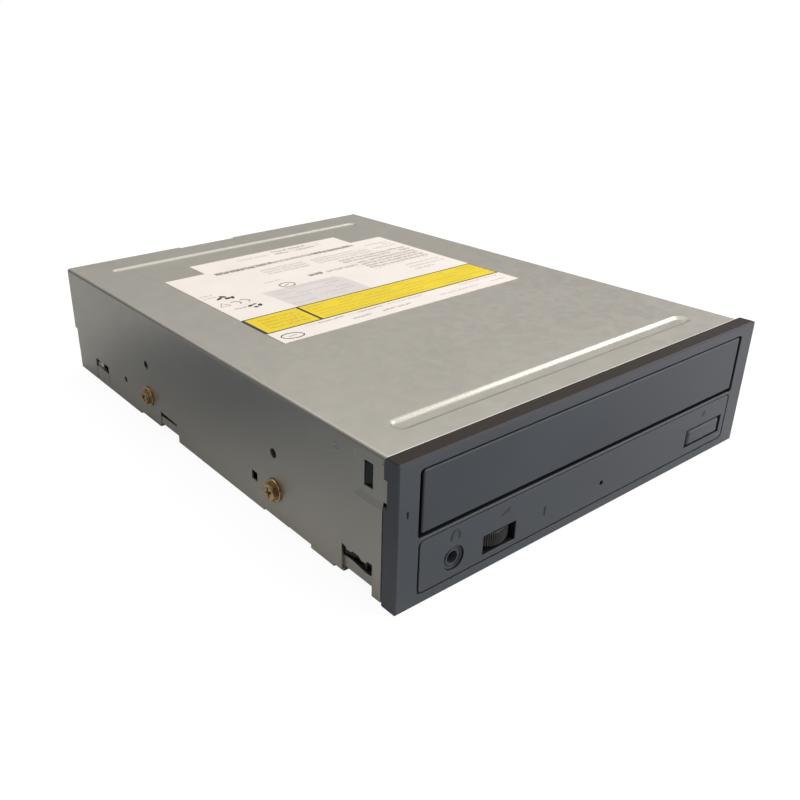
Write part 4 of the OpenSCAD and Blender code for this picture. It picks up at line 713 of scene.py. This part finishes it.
def prism(bm, outline, low, high, place=Matrix.Identity(4), ink=0):
    # closed plate with that outline, in millimetres
    bottom = [bm.verts.new(place @ Vector((x * mm, y * mm, low * mm))) for x, y in outline]
    top = [bm.verts.new(place @ Vector((x * mm, y * mm, high * mm))) for x, y in outline]
    faces = [bm.faces.new(bottom[::-1]), bm.faces.new(top)]
    count = len(outline)
    for i in range(count):
        j = (i + 1) % count
        faces.append(bm.faces.new((bottom[i], bottom[j], top[j], top[i])))
    for face in faces:
        face.material_index = ink


def bar(bm, x0, x1, y0, y1, low, high, place=Matrix.Identity(4), ink=0):
    prism(bm, [(x0, y0), (x1, y0), (x1, y1), (x0, y1)], low, high, place, ink)


def arcPoints(x, y, radius, start, end, steps):
    return [(x + radius * math.cos(math.radians(start + (end - start) * i / steps)),
             y + radius * math.sin(math.radians(start + (end - start) * i / steps))) for i in range(steps + 1)]


def strokeAlong(bm, points, width, low, high, place=Matrix.Identity(4), ink=0, closed=False):
    # flat line of constant width through the points
    count = len(points)
    left, right = [], []
    for i, (x, y) in enumerate(points):
        before = points[(i - 1) % count] if closed or i > 0 else points[i]
        after = points[(i + 1) % count] if closed or i < count - 1 else points[i]
        dx, dy = after[0] - before[0], after[1] - before[1]
        size = math.hypot(dx, dy)
        nx, ny = -dy / size * width / 2, dx / size * width / 2
        left.append((x + nx, y + ny))
        right.append((x - nx, y - ny))
    spans = count if closed else count - 1
    for i in range(spans):
        j = (i + 1) % count
        prism(bm, [right[i], right[j], left[j], left[i]], low, high, place, ink)


def ringOf(bm, radius, height, count, turn=0.0, place=Matrix.Identity(4)):
    return [bm.verts.new(place @ Vector((radius * mm * math.cos(turn + math.tau * i / count),
                                         radius * mm * math.sin(turn + math.tau * i / count), height * mm)))
            for i in range(count)]


def bridgeRings(bm, lower, upper):
    count = len(lower)
    for i in range(count):
        j = (i + 1) % count
        bm.faces.new((lower[i], lower[j], upper[j], upper[i]))


# print on the top label: fields of colour and plain marks only

labelArt = {
    "film": 0.02,                                   # height of the ink above the label, mm
    "band": (-50.6, 52.5, 82.3, 97.0),
    "divider": -29.5,
    "line": 0.6,
    "field": [(-28.5, 97.6), (4.0, 97.6), (4.0, 114.0), (2.0, 117.5), (-30.2, 117.5)],
    # soft tints under the denser rows: x0, x1, y0, y1
    "heavyTints": [(-32.0, -7.5, 145.9, 148.7), (-7.5, 15.0, 146.2, 148.2), (15.0, 34.0, 145.9, 148.7), (-5.0, 1.6, 122.8, 125.4)],
    "tints": [
        (2.0, 26.0, 155.6, 161.2), (-16.0, 4.0, 134.0, 141.4), (8.0, 36.0, 134.0, 141.4),
        (16.0, 50.0, 120.5, 133.0), (20.0, 49.0, 114.2, 120.4), (3.0, 15.8, 122.8, 125.2), (-38.0, -2.0, 79.6, 81.0),
    ],
    # rows of small marks: x0, x1, first y, rows, pitch, height, share of words, ink
    "rows": [
        (-32.0, -6.0, 145.6, 1, 2.0, 3.4, 1.0, "greyInk"),
        (-6.0, 14.0, 145.8, 1, 2.0, 3.0, 1.0, "faintInk"),
        (14.0, 35.0, 145.6, 1, 2.0, 3.4, 1.0, "greyInk"),
        (2.0, 26.0, 159.0, 2, -3.4, 2.4, 0.8, "faintInk"),
        (-16.0, 0.0, 157.0, 1, -3.4, 1.8, 0.6, "paleInk"),
        (-16.0, 4.0, 139.6, 3, -2.7, 2.0, 0.95, "paleInk"),
        (8.0, 36.0, 139.6, 3, -2.7, 2.0, 0.95, "paleInk"),
        (-5.2, 1.8, 122.4, 1, 2.0, 3.2, 1.0, "greyInk"),
        (3.0, 19.0, 122.6, 1, -2.6, 2.6, 0.8, "faintInk"),
        (16.0, 50.5, 131.0, 2, -2.9, 2.3, 0.95, "faintInk"),
        (38.0, 50.5, 142.4, 3, -2.9, 2.0, 0.9, "paleInk"),
        (20.0, 50.0, 124.6, 4, -2.8, 2.3, 0.97, "faintInk"),
        (32.0, 50.0, 110.4, 3, -3.2, 2.0, 0.7, "paleInk"),
        (-28.0, 1.0, 114.4, 6, -2.9, 1.7, 0.6, "fieldLine"),
        (-50.4, -45.0, 126.0, 2, -2.8, 1.8, 0.8, "paleInk"),
        (-47.0, -41.6, 107.6, 1, -2.0, 1.5, 1.0, "faintInk"),
        (-24.0, -16.0, 125.8, 1, -2.0, 1.6, 0.8, "paleInk"),
        (-38.0, -6.0, 79.6, 1, 2.0, 1.3, 0.8, "faintInk"),
        (-4.0, 50.0, 79.6, 1, 2.0, 1.3, 0.7, "paleInk"),
        (-22.0, 4.0, 75.6, 1, -2.1, 1.5, 0.9, "faintInk"),
        (12.0, 50.0, 75.6, 1, -2.1, 1.3, 0.7, "paleInk"),
    ],
    "bandRows": [
        (-47.8, -32.0, 92.6, 4, -2.6, 2.0, 0.85, "amberInk"),
        (-27.5, 51.0, 94.0, 5, -2.5, 1.1, 0.75, "amberInk"),
    ],
    "ring": (-17.4, 119.9, 3.0, 2.5),
    "lowRing": (-45.5, 76.2, 3.9, 2.3),
    "triangle": (-47.4, 114.6, 1.9),
    "arcs": ((-43.2, 113.8), (-39.6, 114.0)),
    # small dark shapes: x, y, half length, half width, turn
    "darkDrops": (
        (-45.2, 121.4, 1.6, 0.7, 35), (-43.2, 122.6, 1.5, 0.8, -50), (-42.4, 120.2, 1.4, 0.9, 10), (-40.6, 120.0, 1.5, 0.6, 70),
        (-40.6, 108.4, 1.1, 0.7, 30), (-39.6, 106.2, 0.9, 0.7, -20), (-37.4, 107.2, 1.2, 0.8, 60), (-38.6, 109.0, 0.9, 0.5, 10),
    ),
}


def ovalPoints(x, y, a, b, turn, count):
    c, d = math.cos(math.radians(turn)), math.sin(math.radians(turn))
    spots = [(a * math.cos(math.tau * i / count), b * math.sin(math.tau * i / count)) for i in range(count)]
    return [(x + u * c - v * d, y + u * d + v * c) for u, v in spots]


def labelPrint(art):
    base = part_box("case_label")[1].z / mm
    inks = ["yellowInk", "blackInk", "greyInk", "faintInk", "amberInk", "fieldInk", "paleInk", "fieldLine",
            "tintInk"]
    low, high = base + 0.004, base + art["film"]
    top = high + 0.006
    bm = bmesh.new()
    x0, x1, y0, y1 = art["band"]
    line = art["line"]
    # yellow two-cell band with its dark frame, heavier at the left
    bar(bm, x0, art["divider"] - line / 2, y0, y1, low, high, ink=0)
    bar(bm, art["divider"] + line / 2, x1, y0, y1, low, high, ink=0)
    bar(bm, x0 - line, x1 + line / 2, y0 - line / 2, y0 + line / 2, low, top, ink=1)
    bar(bm, x0 - line, x1 + line / 2, y1 - line / 2, y1 + line / 2, low, top, ink=1)
    for x, wide in ((x0 - line / 2, 1.6), (art["divider"], 1.8), (x1, 0.8)):
        bar(bm, x - line * wide / 2, x + line * wide / 2, y0 + line / 2, y1 - line / 2, low, top, ink=1)
    prism(bm, art["field"], low, low + 0.008, ink=5)
    for tints, ink in ((art["tints"], "tintInk"), (art["heavyTints"], "paleInk")):
        for tint in tints:
            bar(bm, *tint, low, low + 0.004, ink=inks.index(ink))
    # rows of short marks
    for step, rowSet in ((0.0, art["rows"]), (0.006, art["bandRows"])):
        for rx0, rx1, ry, rows, pitch, height, share, ink in rowSet:
            for row in range(rows):
                x = rx0 + dice.uniform(0, 0.8)
                y = ry + pitch * row
                while x < rx1:
                    # a word-long run of small blocks, or a blank of that length
                    run = dice.uniform(2.0, 6.0)
                    drawn = dice.random() < share
                    while run > 0 and x < rx1:
                        length = dice.uniform(0.35, 1.1)
                        if drawn:
                            foot = y + height * dice.uniform(0.0, 0.3)
                            tall = height * dice.uniform(0.55, 0.7)
                            bar(bm, x, min(x + length, rx1), foot, foot + tall, low, high + step, ink=inks.index(ink))
                        x += length + dice.uniform(0.15, 0.35)
                        run -= length
                    x += dice.uniform(0.2, 0.7)
    # ring with a stroke, low ring, triangle, arcs and drops
    rx, ry, ra, rb = art["ring"]
    strokeAlong(bm, ovalPoints(rx, ry, ra, rb, 0, 40), 0.55, low, high, ink=2, closed=True)
    strokeAlong(bm, [(rx - 1.6, ry - 0.8), (rx + 1.4, ry + 0.9)], 0.45, low, high, ink=2)
    lx, ly, la, lb = art["lowRing"]
    strokeAlong(bm, ovalPoints(lx, ly, la, lb, -12, 10), 0.45, low, high, ink=1, closed=True)
    strokeAlong(bm, [(lx - 1.6, ly - 0.2), (lx + 1.6, ly + 0.2)], 0.5, low, high, ink=3)
    tx, ty, side = art["triangle"]
    strokeAlong(bm, [(tx - side, ty - side * 0.8), (tx + side, ty - side * 0.8), (tx, ty + side)], 0.5, low, high, ink=2, closed=True)
    for qx, qy in art["arcs"]:
        strokeAlong(bm, arcPoints(qx, qy, 1.9, -50, 120, 10), 0.5, low, high, ink=2)
    for x, y, a, b, turn in art["darkDrops"]:
        prism(bm, ovalPoints(x, y, a, b, turn, 16), low, high, ink=1)
    return makePiece("labelPrint", bm, inks, "chassis")


labelPrint(labelArt)
print("stage: label printed")


# raised symbols on the bezel

symbolArt = {
    "raise": 0.12,
    "phones": (-54.3, 15.8, 1.35),
    "wedge": (-36.6, 15.4, 3.2, 1.5),
    "eject": (53.8, 15.7, 1.1),
}


def bezelSymbols(art):
    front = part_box("front_bezel")[0].y / mm
    # local x, y, z become the bezel's X, Z and outward direction
    place = Matrix(((1, 0, 0, 0), (0, 0, -1, front * mm), (0, 1, 0, 0), (0, 0, 0, 1)))
    low, high = -0.1, art["raise"]
    bm = bmesh.new()
    x, z, size = art["phones"]
    strokeAlong(bm, arcPoints(x, z, size, 0, 180, 14), 0.3, low, high, place)
    for s in (-1, 1):
        bar(bm, x + s * size - 0.35, x + s * size + 0.35, z - 1.3, z + 0.05, low, high, place)
    x, z, length, height = art["wedge"]
    prism(bm, [(x - length / 2, z - height / 2), (x + length / 2, z - height / 2), (x + length / 2, z + height / 2)], low, high, place)
    x, z, size = art["eject"]
    prism(bm, [(x - size, z - 0.2), (x + size, z - 0.2), (x, z + size * 0.85)], low, high, place)
    bar(bm, x - size, x + size, z - 0.85, z - 0.5, low, high, place)
    return makePiece("bezelSymbols", bm, ["symbolPlastic"], "chassis")


symbolPlasticLook = {
    "light": (0.050, 0.056, 0.064), "dark": (0.040, 0.045, 0.052), "edge": (0.10, 0.11, 0.12), "edgeShare": 0.4,
    "grain": 0.2 * mm, "depth": 0.01 * mm, "strength": 0.3,
    "rough": (0.32, 0.42), "round": 0.05 * mm, "fixed": {"Specular IOR Level": 0.45},
}
finishes["symbolPlastic"] = mouldedPlastic("symbolPlastic", symbolPlasticLook)
bezelSymbols(symbolArt)
print("stage: bezel symbols raised")


# eject button: a soft-edged cap that stands in a deep dark well

buttonCap = {
    "plateau": (7.75, 2.1),       # half width and half height of the face, mm
    "foot": (8.55, 2.5),          # the same where it meets the flange
    "proud": 0.2, "footDepth": 1.6, "soft": 0.38,
    "flange": (10.3, 3.6, 0.9), "post": (1.4, 1.4),
}


def ejectCap(spec):
    low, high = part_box("eject_button")
    cx, cz = (low.x + high.x) / 2 / mm, (low.z + high.z) / 2 / mm
    front = low.y / mm
    # local x, y, z become X, Z and outward
    place = Matrix.Translation((cx * mm, front * mm, cz * mm)) @ Matrix(((1, 0, 0, 0), (0, 0, -1, 0), (0, 1, 0, 0), (0, 0, 0, 1)))
    bm = bmesh.new()
    a, b = spec["plateau"]
    c, d = spec["foot"]
    deep = -spec["footDepth"]
    upper = [bm.verts.new(place @ Vector((x * mm, y * mm, 0))) for x, y in ((-a, -b), (a, -b), (a, b), (-a, b))]
    shoulder = [bm.verts.new(place @ Vector((x * mm, y * mm, -0.75 * mm))) for x, y in ((-c, -d), (c, -d), (c, d), (-c, d))]
    lower = [bm.verts.new(place @ Vector((x * mm, y * mm, deep * mm))) for x, y in ((-c, -d), (c, -d), (c, d), (-c, d))]
    bridgeRings(bm, lower, shoulder)
    bridgeRings(bm, shoulder, upper)
    bm.faces.new(upper)
    bm.faces.new(lower[::-1])
    rim = [e for e in bm.edges if any(v in upper for v in e.verts)]
    bmesh.ops.bevel(bm, geom=rim, offset=spec["soft"] * mm, segments=4, profile=0.5, affect="EDGES")
    # flange behind the skin, and the post towards the switch
    fx, fz, thick = spec["flange"]
    back = -(high.y - low.y) / mm
    skin = -2.2
    for w, h, near, far in ((fx, fz, skin, skin - thick), (spec["post"][0], spec["post"][1], skin - thick, back)):
        outline = [(-w + 0.3, -h), (w - 0.3, -h), (w, -h + 0.3), (w, h - 0.3), (w - 0.3, h), (-w + 0.3, h), (-w, h - 0.3), (-w, -h + 0.3)]
        prism(bm, outline, far, near, place)
    prism(bm, [(-c + 0.1, -d + 0.1), (c - 0.1, -d + 0.1), (c - 0.1, d - 0.1), (-c + 0.1, d - 0.1)], skin, deep, place)
    bmesh.ops.recalc_face_normals(bm, faces=bm.faces)
    cap = makePiece("ejectCap", bm, ["bezelPlastic"], "eject_key")
    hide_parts("eject_button")
    return cap


ejectCap(buttonCap)
print("stage: eject button made")


# volume wheel: a finely ribbed rim that is rounded towards both faces

volumeDial = {"ribs": 84, "ribDeep": 0.26, "crown": 0.9, "dish": 0.5, "rim": 2.2, "hub": 1.6}


def ribbedWheel(spec):
    low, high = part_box("volume_wheel")
    radius = (high.x - low.x) / 2 / mm
    tall = (high.z - low.z) / mm
    place = Matrix.Translation(((low.x + high.x) / 2, (low.y + high.y) / 2, low.z))
    crown, deep = spec["crown"], spec["ribDeep"]
    bm = bmesh.new()

    def ribRing(shrink, height, share):
        # four points to a rib: two on its crest, two in the groove
        count = spec["ribs"] * 4
        verts = []
        for i in range(count):
            r = radius - shrink - (deep * share if i % 4 > 1 else 0)
            angle = math.tau * i / count
            verts.append(bm.verts.new(place @ Vector((r * mm * math.cos(angle), r * mm * math.sin(angle), height * mm))))
        return verts

    # shrink of the radius, height, and how deep the ribs are there
    profile = [(crown, 0.0, 0.0), (crown * 0.45, crown * 0.25, 0.6), (crown * 0.12, crown * 0.6, 1.0), (0.0, crown, 1.0),
               (0.0, tall - crown, 1.0), (crown * 0.12, tall - crown * 0.6, 1.0), (crown * 0.45, tall - crown * 0.25, 0.6),
               (crown, tall, 0.0), (spec["rim"], tall, 0.0), (spec["rim"] + 0.3, tall - spec["dish"], 0.0)]
    rings = [ribRing(*row) for row in profile]
    for lower, upper in zip(rings, rings[1:]):
        bridgeRings(bm, lower, upper)
    bm.faces.new(rings[0][::-1])
    bm.faces.new(rings[-1])
    prism(bm, ovalPoints(0, 0, spec["hub"], spec["hub"], 0, 32), tall - spec["dish"] - 0.1, tall - 0.05, place)
    bmesh.ops.recalc_face_normals(bm, faces=bm.faces)
    wheel = makePiece("volumeDial", bm, ["wheelPlastic"], "volume")
    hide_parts("volume_wheel")
    return wheel


wheelPlasticLook = {
    "light": (0.036, 0.036, 0.038), "dark": (0.022, 0.022, 0.024), "edge": (0.16, 0.16, 0.165), "edgeShare": 0.6,
    "grain": 0.2 * mm, "depth": 0.012 * mm, "strength": 0.5, "rough": (0.26, 0.4), "round": 0.06 * mm,
    "fixed": {"Specular IOR Level": 0.5},
}
finishes["wheelPlastic"] = mouldedPlastic("wheelPlastic", wheelPlasticLook)
ribbedWheel(volumeDial)
print("stage: volume wheel made")


# black latch feet behind the lower side slots

latchFeet = {"x": (66.5, 71.2), "y": (3.4, 15.2), "z": (1.6, 6.75), "rib": 1.0}


def bezelLatches(spec):
    bm = bmesh.new()
    x0, x1 = spec["x"]
    y0, y1 = spec["y"]
    z0, z1 = spec["z"]
    outline = [(y0, z0 + 1.2), (y0 + 1.2, z0), (y1 - 2.5, z0), (y1, z0 + 2.2), (y1, z1), (y0, z1)]
    for side in (-1, 1):
        # local x, y, z become Y, Z and outward from the middle
        place = Matrix(((0, 0, side, 0), (1, 0, 0, 0), (0, 1, 0, 0), (0, 0, 0, 1)))
        prism(bm, outline, x0, x1 - spec["rib"], place)
        for y in (y0 + 0.4, (y0 + y1) / 2 - 0.5, y1 - 1.4):
            bar(bm, y, y + spec["rib"], z0 + 2.4, z1, x1 - spec["rib"] - 0.1, x1, place)
    bmesh.ops.recalc_face_normals(bm, faces=bm.faces)
    return makePiece("bezelLatches", bm, ["epoxy"], "chassis")


bezelLatches(latchFeet)
print("stage: latch feet made")


# gold screws that hang the drive in its rails

guideScrew = {
    "washerR": 3.6, "washerT": 0.7, "hexR": 2.95, "hexTopR": 2.6, "hexH": 1.48,
    "shankR": 1.66, "shankL": 4.6, "pitch": 0.5, "crossLong": 1.7, "crossWide": 0.45, "crossDeep": 1.0,
}


def screwSolid(spec, place):
    # washer, rolled edge, hexagon and threaded shank as one revolved skin
    bm = bmesh.new()
    count = 48
    profile = []
    turns = int(spec["shankL"] / spec["pitch"])
    for i in range(turns):
        z = -spec["shankL"] + i * spec["pitch"]
        profile += [(spec["shankR"] - 0.28, z), (spec["shankR"], z + spec["pitch"] * 0.5)]
    w, t = spec["washerR"], spec["washerT"]
    profile += [(spec["shankR"], 0.0), (w - 0.12, 0.0), (w, 0.12), (w, t - 0.2), (w - 0.06, t - 0.06), (w - 0.2, t)]
    rings = [ringOf(bm, r, z, count, 0, place) for r, z in profile]
    for a, b in zip(rings, rings[1:]):
        bridgeRings(bm, a, b)
    bm.faces.new(rings[0][::-1])
    # hexagon: each ring follows the six flats, with a turned chamfer at its top
    def hexRing(radius, height, limit):
        verts = []
        for i in range(count):
            angle = math.tau * i / count
            local = (angle % (math.tau / 6)) - math.tau / 12
            flat = radius * math.cos(math.tau / 12) / math.cos(local)
            r = min(flat, limit)
            verts.append(bm.verts.new(place @ Vector((r * mm * math.cos(angle), r * mm * math.sin(angle), height * mm))))
        return verts
    h = spec["hexH"]
    hexRings = [hexRing(spec["hexR"], t, 9), hexRing(spec["hexR"], t + h - 0.35, 9),
                hexRing(spec["hexR"], t + h - 0.12, spec["hexTopR"] + 0.15), hexRing(spec["hexR"], t + h, spec["hexTopR"] - 0.1)]
    bridgeRings(bm, rings[-1], hexRings[0])
    for a, b in zip(hexRings, hexRings[1:]):
        bridgeRings(bm, a, b)
    bm.faces.new(hexRings[-1])
    bmesh.ops.recalc_face_normals(bm, faces=bm.faces)
    return bm


def crossCutter(spec, place):
    bm = bmesh.new()
    a, b = spec["crossLong"], spec["crossWide"]
    top = spec["washerT"] + spec["hexH"] + 0.3
    low = spec["washerT"] + spec["hexH"] - spec["crossDeep"]
    outline = [(a, -b), (a, b), (b, b), (b, a), (-b, a), (-b, b), (-a, b), (-a, -b), (-b, -b), (-b, -a), (b, -a), (b, -b)]
    # the recess narrows towards its floor
    upper = [bm.verts.new(place @ Vector((x * mm, y * mm, top * mm))) for x, y in outline]
    lower = [bm.verts.new(place @ Vector((x * 0.62 * mm, y * 0.62 * mm, low * mm))) for x, y in outline]
    bridgeRings(bm, lower, upper)
    bm.faces.new(upper)
    bm.faces.new(lower[::-1])
    bmesh.ops.recalc_face_normals(bm, faces=bm.faces)
    return bm


def joinedMesh(name, parts):
    mesh = bpy.data.meshes.new(name)
    whole = bmesh.new()
    for part in parts:
        temp = bpy.data.meshes.new("part")
        part.to_mesh(temp)
        part.free()
        whole.from_mesh(temp)
        bpy.data.meshes.remove(temp)
    whole.to_mesh(mesh)
    whole.free()
    return mesh


def guideScrews(spec):
    low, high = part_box("guide_screws")
    side = frame["record"]["mounts"][1]["pos_m"][0]
    places = []
    for y, turn in ((low.y + spec["washerR"] * mm, 0.35), (high.y - spec["washerR"] * mm, 0.9)):
        z = (low.z + high.z) / 2
        places.append(Matrix.Translation((-side, y, z)) @ Matrix.Rotation(-math.pi / 2, 4, "Y") @ Matrix.Rotation(turn, 4, "Z"))
    body = bpy.data.objects.new("guideScrews", joinedMesh("guideScrews", [screwSolid(spec, p) for p in places]))
    cutter = bpy.data.objects.new("crossCutter", joinedMesh("crossCutter", [crossCutter(spec, p) for p in places]))
    for thing in (body, cutter):
        bpy.context.scene.collection.objects.link(thing)
    cut = body.modifiers.new("cross", "BOOLEAN")
    cut.object = cutter
    cut.operation = "DIFFERENCE"
    cut.solver = "EXACT"
    graph = bpy.context.evaluated_depsgraph_get()
    result = bpy.data.meshes.new_from_object(body.evaluated_get(graph))
    body.modifiers.clear()
    body.data = result
    bpy.data.objects.remove(cutter)
    result.materials.clear()
    result.materials.append(finishes["goldZinc"])
    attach(body, "chassis")
    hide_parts("guide_screws")
    return body


guideScrews(guideScrew)
print("stage: guide screws made")
